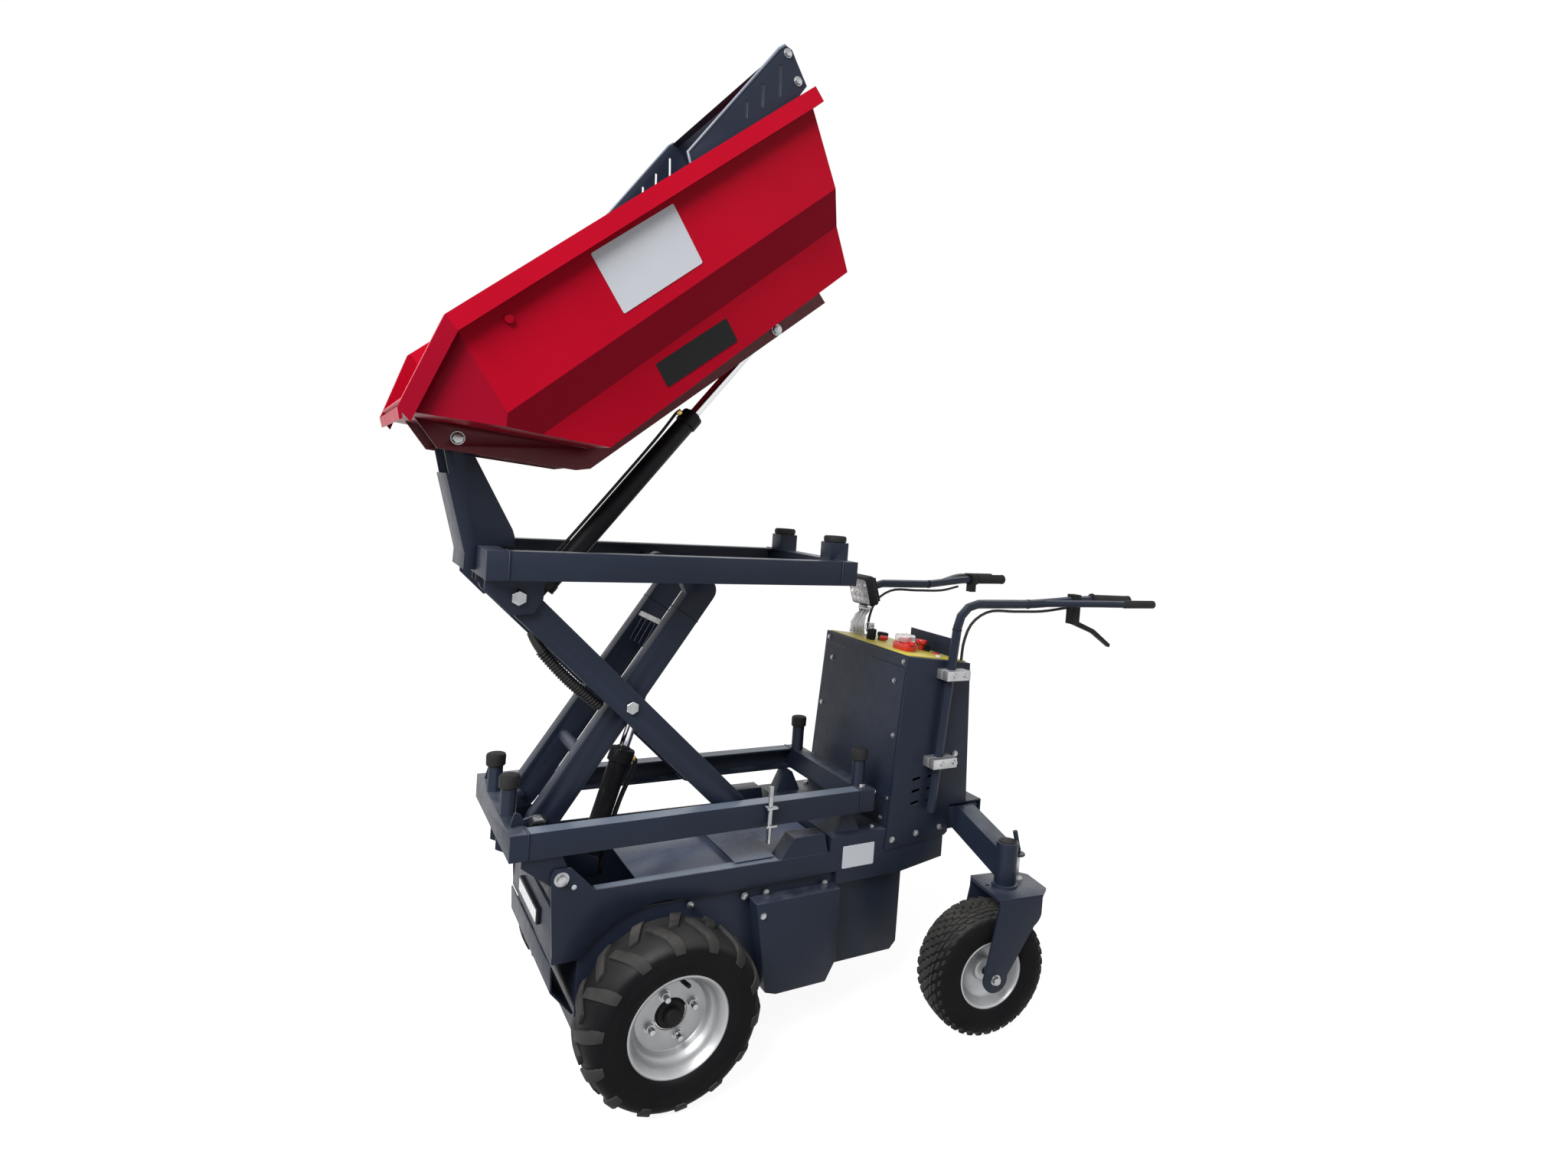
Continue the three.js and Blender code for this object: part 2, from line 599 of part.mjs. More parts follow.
function innerArms() {
  const x0 = armBar.innerX - armBar.thick / 2;
  const x1 = armBar.innerX + armBar.thick / 2;
  const barShape = link(alongBar(-309), alongBar(312), armBar.depth / 2, x0, x1);
  const nose = link(alongBar(290), innerRoller, 22, x0 + 4, x1 - 4);
  const stub = crossBar(innerRoller, 9, x1 - 6, topFrame.half - topFrame.wall - 4);
  const wheel = crossBar(innerRoller, rollerRadius, topFrame.half - topFrame.rail + 2,
    topFrame.half - topFrame.wall - 4);
  const one = cut(join(barShape, nose, stub, wheel), crossBar(innerFoot, 9 + fit, x0 - 5, x1 + 5),
    crossBar(armCentre, 10 + fit, x0 - 5, x1 + 5));
  const plate = sidePlate(outline([[-26, -5], [26, -5], [26, 5], [-26, 5]]), -x0 - 2, x0 + 2)
    .rotateX(innerBarAngle - Math.PI / 2).translate(0, ...alongBar(196));
  const lug = link(liftEye, alongBar(190), 20, cylinder.eye + running, cylinder.eye + running + cylinder.lug);
  const lowTube = crossBar(alongBar(-150), 16, -x0 - 2, x0 + 2);
  return join(one, mirrored(one), plate, ...bothSides(lug), lowTube);
}

function outerArms() {
  const x0 = armBar.outerX - armBar.thick / 2;
  const x1 = armBar.outerX + armBar.thick / 2;
  const slope = (outerHead[1] - armCentre[1]) / (armCentre[0] - outerHead[0]);
  const foot = [armCentre[0] + (armCentre[1] - outerRollerZ) / slope, outerRollerZ];
  const end = [foot[0] - 14, foot[1] + 14 * slope];
  const barShape = link(end, outerHead, armBar.depth / 2, x0, x1);
  const stub = crossBar(foot, 9, x1 - 6, baseFrame.half - baseFrame.wall - 4);
  const wheel = crossBar(foot, rollerRadius, baseFrame.half - baseFrame.rail + 2,
    baseFrame.half - baseFrame.wall - 4);
  const one = join(cut(barShape, crossBar(outerHead, 10 + fit, x0 - 5, x1 + 5)), stub, wheel);
  return join(one, mirrored(one), crossBar(armCentre, 10, -x0 - 2, x0 + 2));
}

// the bundle of hoses held under the left outer arm
function armHose() {
  const run = new THREE.Vector2(outerHead[0] - armCentre[0], outerHead[1] - armCentre[1]).normalize();
  const offset = armBar.depth / 2 + 13 + fit;
  const at = (distance, drop) => [armBar.outerX - 8, armCentre[0] + run.x * distance + run.y * -drop,
    armCentre[1] + run.y * distance + run.x * drop];
  return tube(new THREE.CatmullRomCurve3([at(264, offset), at(220, offset + 2), at(150, offset + 4),
    at(84, offset + 1),
    at(46, offset)].map(point)), 13, 10);
}

// ---------------------------------------------------------------- top frame

function tippingPost() {
  const p = tipPost;
  const shape = new THREE.Shape();
  shape.moveTo(-98, topFrame.low + 8);
  shape.lineTo(-97, 1187);
  shape.lineTo(tubPivot[0] - p.nose, 1400);
  shape.absarc(tubPivot[0], tubPivot[1], p.nose, Math.PI, 0.2, true);
  shape.lineTo(-86, 1392);
  shape.lineTo(-5, 1243);
  shape.lineTo(0, 1228);
  shape.lineTo(0, topFrame.top + fit);
  shape.lineTo(topFrame.front - fit, topFrame.top + fit);
  shape.lineTo(topFrame.front - fit, topFrame.low + 8);
  shape.closePath();
  const side = sidePlate(shape, p.half - p.thick, p.half, 6);
  const face = sidePlate(outline([[-98, topFrame.low + 8], [-97, 1187], [-140, 1354], [-134, 1354],
    [-90, 1187], [-90, topFrame.low + 8]]), -p.half + 2, p.half - 2);
  const shaft = crossBar(tubPivot, 12, -tubFrame.half - tubFrame.thick - 4,
    tubFrame.half + tubFrame.thick + 4);
  return join(side, mirrored(side), face, shaft);
}

function topFrameShape() {
  const f = topFrame;
  const rail = rails(f);
  const front = block(-f.half, f.half, f.front, f.front + f.beam, f.low, f.top);
  const rear = block(-f.half, f.half, f.rear - f.beam, f.rear, f.low, f.top);
  const x0 = armBar.outerX + armBar.thick / 2 + running;
  const cheek = sidePlate(outline([[f.front + 4, f.low + 2], [46, f.low + 2], [46, 1104], [28, 1074],
    [-16, 1070],
    [f.front + 4, 1124]]), x0, x0 + 8);
  const bolt = crossBar(outerHead, 10, armBar.outerX - armBar.thick / 2 - 8, x0 + 16);
  const lugX = cylinder.eye + running;
  const lug = sidePlate(outline([[f.front + 10, f.low + 2], [f.front + f.beam - 2, f.low + 2],
    [tipFoot[0] + 16, tipFoot[1] + 10], [tipFoot[0] + 12, tipFoot[1] - 15],
    [tipFoot[0] - 12, tipFoot[1] - 17],
    [f.front + 10, f.low - 22]]), lugX, lugX + cylinder.lug);
  const pad = join(
    block(bumper.padX - bumper.padHalf, bumper.padX + bumper.padHalf, f.rear - 52, f.rear - 2, f.top - 2,
      bumper.padTop),
    bar([bumper.padX, f.rear - 27, bumper.padTop - 2], [bumper.padX, f.rear - 27, bumper.padTop + 14], 22,
    16));
  return join(rail, mirrored(rail), front, rear, ...bothSides(cheek), ...bothSides(bolt), ...bothSides(lug),
    crossBar(tipFoot, 8, -lugX - 2, lugX + 2), ...bothSides(pad));
}

// ---------------------------------------------------------------- skip

// the skip is described in its own level frame: y along the rim from the pivot, z up from the pivot
function tubRearAt(z) {
  return tub.rearY - 10 - (tub.rimTop - z) * tub.rake;
}

// cross-section half widths at height z, outside surface
function tubHalfAt(z) {
  const steps = [[tub.floorZ, tub.floorHalf], [tub.lowZ, tub.lowHalf], [tub.creaseZ, tub.creaseHalf],
    [tub.rimTop, tub.panelTopHalf]];
  for (let i = 1; i < steps.length; i += 1) {
    if (z <= steps[i][0]) {
      const t = (z - steps[i - 1][0]) / (steps[i][0] - steps[i - 1][0]);
      return steps[i - 1][1] + t * (steps[i][1] - steps[i - 1][1]);
    }
  }
  return tub.panelTopHalf;
}

// the skip's body as a stack of level outlines; inset shrinks it by a wall
function tubSolid(inset, floorZ, topZ) {
  const levels = [floorZ, tub.lowZ, tub.creaseZ, tub.lipZ, topZ];
  const slope = (tub.rampY - tub.lipY) / (tub.lipZ - tub.floorZ);
  const rings = levels.map((z) => {
    const half = tubHalfAt(z) - inset;
    const rear = tubRearAt(z) - inset;
    const front = tub.rampY - (z - tub.floorZ) * slope + inset * 1.4;
    return [z, half, rear, Math.max(front, tub.lipY - 17 + inset)];
  });
  const shape = [];
  rings.forEach(([z, half, rear, front]) => {
    shape.push([half, rear, z], [-half, rear, z], [-half, front, z], [half, front, z]);
  });
  const position = new Float32Array(shape.flat());
  const index = [];
  for (let k = 0; k < rings.length - 1; k += 1) {
    for (let i = 0; i < 4; i += 1) {
      const a = 4 * k + i;
      const b = 4 * k + (i + 1) % 4;
      index.push(a, b, b + 4, a, b + 4, a + 4);
    }
  }
  const last = 4 * (rings.length - 1);
  index.push(0, 2, 1, 0, 3, 2, last, last + 1, last + 2, last, last + 2, last + 3);
  const geometry = new THREE.BufferGeometry();
  geometry.setAttribute('position', new THREE.BufferAttribute(position, 3));
  geometry.setIndex(index);
  return geometry;
}

// height of the rim above the pivot in front of the bend
function rimAt(y) {
  return tub.noseTop + (y - tub.noseY) * (tub.rimTop - tub.noseTop) / (tub.bendY - tub.noseY);
}

// a point on the line, seen from above, along which the sides draw in to the nose, moved inwards by inset
function noseLine(share, inset) {
  const run = [tub.noseHalf - tub.rimHalf, tub.noseY - tub.bendY];
  const length = Math.hypot(...run);
  return [tub.rimHalf + run[0] * share + inset * run[1] / length,
    tub.bendY + run[1] * share - inset * run[0] / length];
}

// an upright plate along the nose line between two insets
function alongNose(from, to, outside, inside, low, high) {
  const corners = [noseLine(from, outside), noseLine(to, outside), noseLine(to, inside),
    noseLine(from, inside)];
  return hull(corners.flatMap(([x, y]) => [[x, y, low(y)], [x, y, high(y)]]));
}

// what is cut off above the sloping edge of the nose
function overNose() {
  const t = tub;
  return sidePlate(outline([[t.bendY, t.rimTop], [t.noseY, t.noseTop], [t.noseY - 200, t.noseTop],
    [t.noseY - 200, t.rimTop + 60], [t.bendY + 30, t.rimTop + 60], [t.bendY + 30, t.rimTop]]), -500, 500);
}

// what is cut off outside the nose line
function besideNose(inset) {
  const piece = alongNose(-0.5, 2.2, -400, inset, () => -400, () => 400);
  return bothSides(piece);
}

function tubShape() {
  const t = tub;
  const inset = 19;
  const outer = tubSolid(0, t.floorZ, t.rimTop);
  const inner = tubSolid(t.wall, t.floorZ + t.wall, t.rimTop + 0.01);
  const shell = cut(outer, inner, ...besideNose(inset));
  const cheek = meet(outer, alongNose(-0.3, 1.06, inset - 0.01, inset + t.wall, () => -400, () => 400));
  const strip = alongNose(0, 1, -3, t.wall, (y) => rimAt(y) - t.rimDrop, (y) => rimAt(y) + 3);
  const web = alongNose(0, 1, -3, inset + 2, (y) => rimAt(y) - t.wall, (y) => rimAt(y) + 3);
  const flangeOuter = planPlate(outline([[t.rimHalf, t.rearY], [-t.rimHalf, t.rearY],
    [-t.rimHalf, t.bendY - 4],
    [t.rimHalf, t.bendY - 4]]), t.rimTop - t.rimDrop, t.rimTop);
  const flangeInner = planPlate(outline([[t.panelTopHalf - t.wall, t.rearY - 22], [-t.panelTopHalf + t.wall,
    t.rearY - 22], [-t.panelTopHalf + t.wall, t.bendY - 60], [t.panelTopHalf - t.wall, t.bendY - 60]]),
  t.rimTop - t.rimDrop - 5, t.rimTop + 5);
  const flange = cut(flangeOuter, flangeInner);
  const lip = sidePlate(outline([[t.noseY, t.noseTop], [t.noseY - 11, t.noseLow],
    [t.noseY - 6, t.noseLow - 2],
    [t.noseY + 4, t.noseTop - 5], [t.lipY, t.noseTop - 5], [t.lipY, t.noseTop]]), -t.noseHalf - 10,
    t.noseHalf + 10);
  return cut(join(shell, flange, lip, ...bothSides(cheek), ...bothSides(strip), ...bothSides(web)),
    overNose(),
    ...besideNose(0));
}

function tubFrameShape() {
  const f = tubFrame;
  const gap = fit;
  const ramp = (y) => tub.floorZ + (tub.rampY - y) * (tub.lipZ - tub.floorZ) / (tub.rampY - tub.lipY) - gap * 1.6;
  const shape = outline([[-38, ramp(-38)], [-44, 6], [148, -193], [175, -209], [901, -226],
    [901, tub.floorZ - gap],
    [tub.rampY, tub.floorZ - gap * 1.6]]);
  const side = sidePlate(shape, f.half, f.half + f.thick);
  const hole = crossBar([0, 0], 14, f.half - 5, f.half + f.thick + 5, 16);
  const plate = cut(side, hole);
  const tieFront = block(-f.half - 1, f.half + 1, 240, 246, -200, tub.floorZ - gap);
  const tieRear = block(-f.half - 1, f.half + 1, 880, 886, -222, tub.floorZ - gap);
  const lugX = cylinder.eye + running;
  const lug = sidePlate(outline([[760, tub.floorZ - gap], [890, tub.floorZ - gap], [882, -200], [830, -224],
    [794, -224]]), lugX, lugX + cylinder.lug);
  return join(plate, mirrored(plate), tieFront, tieRear, ...bothSides(lug));
}

function spillGuard() {
  const g = guard;
  const wing = sidePlate(outline([[g.front, tub.rimTop - 2], [g.front + 12, 216], [989, g.top], [1008, g.top],
    [g.rear + 4, 280], [1003, 206], [978, 198], [978, g.low], [700, g.low]]), g.half - g.wall, g.half);
  const back = sidePlate(outline([[974, g.low], [978, g.low], [978, 198], [1005, 206], [g.rear + 4, 280],
    [1008, g.top], [1002, g.top], [g.rear - 1, 280], [1000, 209], [974, 202]]), -g.half + 1, g.half - 1);
  return join(wing, mirrored(wing), back);
}

// ---------------------------------------------------------------- cylinders

function barrelShape(length) {
  const { radius, rod, eye } = cylinder;
  const body = bar([0, 0, 34], [0, 0, length], radius, 16);
  const bore = bar([0, 0, 60], [0, 0, length + 5], rod + 1);
  const neck = join(crossBar([0, 0], 19, -eye, eye), block(-10, 10, -12, 12, 8, 40));
  return cut(join(body, neck), bore, crossBar([0, 0], 10, -eye - 5, eye + 5));
}

function rodShape(full, depth) {
  const { rod, eye } = cylinder;
  const shaft = bar([0, 0, full - depth], [0, 0, full - 12], rod);
  return join(shaft, crossBar([0, full], 16, -eye + 1, eye - 1));
}

function addCylinder(name, foot, eyePoint, barrelLength, depth) {
  const group = new THREE.Group();
  const dy = eyePoint[0] - foot[0];
  const dz = eyePoint[1] - foot[1];
  const length = Math.hypot(dy, dz);
  group.position.set(0, foot[0], foot[1]);
  group.rotation.x = Math.atan2(dz, dy) - Math.PI / 2;
  add(group, `${name}_barrel`, barrelShape(barrelLength), black());
  add(group, `${name}_rod`, rodShape(length, depth), steel());
  machine.add(group);
}

function tippedPoint([y, z]) {
  return [tubPivot[0] + y * Math.cos(tubTip) - z * Math.sin(tubTip),
    tubPivot[1] + y * Math.sin(tubTip) + z * Math.cos(tubTip)];
}

// ---------------------------------------------------------------- assembly

frontWheels();
casters();
addPair(machine, 'stub_axle', stubAxle(), steel);
addPair(machine, 'caster_arm', casterArm(), paint);
add(machine, 'rear_channel', rearChannel(), paint());
add(machine, 'chassis', chassisFrame(), paint());
add(machine, 'deck_plate', deckPlate(), paint());
add(machine, 'front_panel', frontPanel(), paint());
add(machine, 'light_bar', lightBar(), lens());
add(machine, 'chassis_pan', chassisPan(), paint());
add(machine, 'battery_box', batteryBox(), black());
add(machine, 'drive_unit', driveUnit(), black());
addPair(machine, 'side_cover', sideCoverShape(), paint);
add(machine, 'rear_box', rearBoxShape(), paint());
add(machine, 'console_body', consoleBody(), paint());
add(machine, 'console_top', consoleTop(), yellow());
add(machine, 'console_screen', consoleScreen(), black());
add(machine, 'isolator', isolator(), red());
add(machine, 'stop_button', stopButton(), red());
add(machine, 'key_switch', keySwitch(), black());
add(machine, 'work_light', workLight(), lens());
addPair(machine, 'handlebar', handlebarShape(), paint);
addPair(machine, 'grip', gripShape(), rubber);
addPair(machine, 'guard_grip', guardGripShape(), rubber);
add(machine, 'brake_lever', brakeLever(), black());
add(machine, 'throttle', throttle(), black());
add(machine, 'brake_cable', cable(1), rubber());
add(machine, 'throttle_cable', cable(-1), rubber());
add(machine, 'base_frame', baseFrameShape(), paint());
add(machine, 'lock_pin', lockPin(), steel());
add(machine, 'inner_arms', innerArms(), paint());
add(machine, 'outer_arms', outerArms(), paint());
add(machine, 'arm_hose', armHose(), rubber());
add(machine, 'top_frame', topFrameShape(), paint());
add(machine, 'tipping_post', tippingPost(), paint());
addCylinder('lift', liftFoot, liftEye, 285, 262);
addCylinder('tip', tipFoot, tippedPoint(tipEye), 580, 500);

const skip = new THREE.Group();
skip.position.set(0, ...tubPivot);
skip.rotation.x = tubTip;
add(skip, 'tub', tubShape(), red());
add(skip, 'tub_frame', tubFrameShape(), red());
add(skip, 'spill_guard', spillGuard(), paint());
machine.add(skip);

const noseFront = tippedPoint([tub.noseY, tub.noseTop])[0];
machine.position.y = -(noseFront + prongs.guardEnd[1]) / 2;

export default machine;
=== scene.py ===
# Looks for a walk-behind site dumper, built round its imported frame.
# Sizes are in millimetres. x is across the machine, and y runs back from the front of its lower frame.
import json
import math

import bpy
from mathutils import Matrix, Quaternion, Vector

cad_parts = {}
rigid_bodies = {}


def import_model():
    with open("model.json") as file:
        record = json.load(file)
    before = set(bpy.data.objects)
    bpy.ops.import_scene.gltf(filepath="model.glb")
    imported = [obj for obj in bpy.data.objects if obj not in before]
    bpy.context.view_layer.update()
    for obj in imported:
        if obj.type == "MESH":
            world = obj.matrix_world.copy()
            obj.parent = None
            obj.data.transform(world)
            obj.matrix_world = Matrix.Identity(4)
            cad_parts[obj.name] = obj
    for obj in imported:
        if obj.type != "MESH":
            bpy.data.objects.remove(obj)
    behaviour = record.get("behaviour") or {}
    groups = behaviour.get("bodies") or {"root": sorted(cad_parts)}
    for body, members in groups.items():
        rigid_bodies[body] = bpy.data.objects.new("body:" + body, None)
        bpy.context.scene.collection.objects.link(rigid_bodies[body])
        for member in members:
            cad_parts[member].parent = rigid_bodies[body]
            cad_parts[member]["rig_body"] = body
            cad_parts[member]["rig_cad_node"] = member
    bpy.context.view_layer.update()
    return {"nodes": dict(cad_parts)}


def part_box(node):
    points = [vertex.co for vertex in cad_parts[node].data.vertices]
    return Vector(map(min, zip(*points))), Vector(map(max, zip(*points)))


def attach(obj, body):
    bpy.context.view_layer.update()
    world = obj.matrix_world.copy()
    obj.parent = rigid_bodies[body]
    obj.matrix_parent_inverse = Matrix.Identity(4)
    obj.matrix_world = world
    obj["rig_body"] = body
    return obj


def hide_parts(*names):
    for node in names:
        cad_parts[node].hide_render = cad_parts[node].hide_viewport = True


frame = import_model()
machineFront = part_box("base_frame")[0].y  # where y is 0
print("frame loaded")

tipAngle = math.radians(41.5)  # how far the skip is tipped at rest
skipPivot = (0, -124.6, 1427.4)


def at(x, y, z):
    return Vector((x / 1000, y / 1000 + machineFront, z / 1000))


skipPlace = Matrix.Translation(at(*skipPivot)) @ Matrix.Rotation(tipAngle, 4, "X")


def onSkip(x, along, up):  # along the rim and up from the skip's pivot
    return skipPlace @ Vector((x / 1000, along / 1000, up / 1000))


# materials

def newMaterial(name):
    material = bpy.data.materials.new(name)
    material.use_nodes = True
    return material, material.node_tree.nodes, material.node_tree.links


def noiseNode(nodes, links, coords, scale, detail=3.0, roughness=0.5):
    noise = nodes.new("ShaderNodeTexNoise")
    noise.inputs["Scale"].default_value = scale
    noise.inputs["Detail"].default_value = detail
    noise.inputs["Roughness"].default_value = roughness
    links.new(coords, noise.inputs["Vector"])
    return noise.outputs["Fac"]


def rangeNode(nodes, links, value, fromMin, fromMax, toMin=0.0, toMax=1.0):
    fit = nodes.new("ShaderNodeMapRange")
    for socket, number in (("From Min", fromMin), ("From Max", fromMax),
                           ("To Min", toMin), ("To Max", toMax)):
        fit.inputs[socket].default_value = number
    links.new(value, fit.inputs["Value"])
    return fit.outputs["Result"]


def mixNode(nodes, links, factor, first, second):
    mix = nodes.new("ShaderNodeMix")
    mix.data_type = "RGBA"
    links.new(factor, mix.inputs["Factor"])
    for socket, colour in ((6, first), (7, second)):
        if isinstance(colour, tuple):
            mix.inputs[socket].default_value = (*colour, 1)
        else:
            links.new(colour, mix.inputs[socket])
    return mix.outputs[2]


def mathNode(nodes, links, operation, first, second):
    node = nodes.new("ShaderNodeMath")
    node.operation = operation
    links.new(first, node.inputs[0])
    links.new(second, node.inputs[1])
    return node.outputs[0]


def facingNode(nodes, links):  # 1 on what faces straight up, down to -1 on what faces down
    split = nodes.new("ShaderNodeSeparateXYZ")
    links.new(nodes.new("ShaderNodeNewGeometry").outputs["Normal"], split.inputs["Vector"])
    return split.outputs["Z"]


def bumpNode(nodes, links, height, distance):
    bump = nodes.new("ShaderNodeBump")
    bump.inputs["Strength"].default_value = 1.0
    bump.inputs["Distance"].default_value = distance
    links.new(height, bump.inputs["Height"])
    return bump.outputs["Normal"]


usualLook = {"toneScale": 4.0, "glossScale": 30.0, "metallic": 0.0, "coat": 0.0, "specular": 0.5,
             "grainDepth": 0.0001, "markColour": (0.45, 0.45, 0.44)}


def finish(name, ownLook):
    look = {**usualLook, **ownLook}
    material, nodes, links = newMaterial(name)
    shader = nodes["Principled BSDF"]
    coords = nodes.new("ShaderNodeTexCoord").outputs["Object"]
    tone = rangeNode(nodes, links, noiseNode(nodes, links, coords, look["toneScale"], 4.0), 0.3, 0.7)
    colour = mixNode(nodes, links, tone, look["colour"], look["second"])
    if "dustAndSheen" in look:  # dust on what faces up, and on the machine paint a painted pale sky sheen there too
        up = rangeNode(nodes, links, facingNode(nodes, links), 0.55, 1.0)
        patches = noiseNode(nodes, links, coords, 9.0, 6.0, 0.6)
        dustAndSheen = rangeNode(nodes, links, patches, 0.42, 0.72, 0.0, look["dustAndSheen"])
        upFacingDustAndSheen = mathNode(nodes, links, "MULTIPLY", up, dustAndSheen)
        colour = mixNode(nodes, links, upFacingDustAndSheen, colour, look["dustAndSheenColour"])
    if "under" in look:  # painted shade: darker where the sheet turns down
        down = rangeNode(nodes, links, facingNode(nodes, links), -0.16, -0.4)
        colour = mixNode(nodes, links, down, colour, look["under"])
    if "marks" in look:  # fine scuffs along one way
        stretch = nodes.new("ShaderNodeMapping")
        stretch.inputs["Scale"].default_value = (1.0, 6.0, 0.6)
        stretch.inputs["Rotation"].default_value = (0.4, 0.2, 0.1)
        links.new(coords, stretch.inputs["Vector"])
        streaks = noiseNode(nodes, links, stretch.outputs["Vector"], 22.0, 8.0, 0.7)
        scuffs = rangeNode(nodes, links, streaks, 0.66, 0.74, 0.0, look["marks"])
        colour = mixNode(nodes, links, scuffs, colour, look["markColour"])
    links.new(colour, shader.inputs["Base Color"])
    gloss = noiseNode(nodes, links, coords, look["glossScale"], 5.0, 0.6)
    links.new(rangeNode(nodes, links, gloss, 0.25, 0.75, *look["roughness"]), shader.inputs["Roughness"])
    shader.inputs["Metallic"].default_value = look["metallic"]
    shader.inputs["Coat Weight"].default_value = look["coat"]
    shader.inputs["Coat Roughness"].default_value = 0.1
    shader.inputs["Specular IOR Level"].default_value = look["specular"]
    if "shine" in look:  # stronger where the surface faces the sky
        up = facingNode(nodes, links)
        shine = rangeNode(nodes, links, up, 0.4, 0.95, look["specular"], look["shine"])
        links.new(shine, shader.inputs["Specular IOR Level"])
    grain = noiseNode(nodes, links, coords, look["grain"], 2.0)
    links.new(bumpNode(nodes, links, grain, look["grainDepth"]), shader.inputs["Normal"])
    return material


def glassFinish(name, tint, roughness):
    material, nodes, links = newMaterial(name)
    shader = nodes["Principled BSDF"]
    coords = nodes.new("ShaderNodeTexCoord").outputs["Object"]
    smear = noiseNode(nodes, links, coords, 25.0, 4.0)
    links.new(rangeNode(nodes, links, smear, 0.3, 0.8, roughness, roughness + 0.12),
              shader.inputs["Roughness"])
    shader.inputs["Base Color"].default_value = (*tint, 1)
    shader.inputs["Transmission Weight"].default_value = 0.9
    shader.inputs["IOR"].default_value = 1.45
    ripple = noiseNode(nodes, links, coords, 120.0)
    links.new(bumpNode(nodes, links, ripple, 0.0002), shader.inputs["Normal"])
    return material


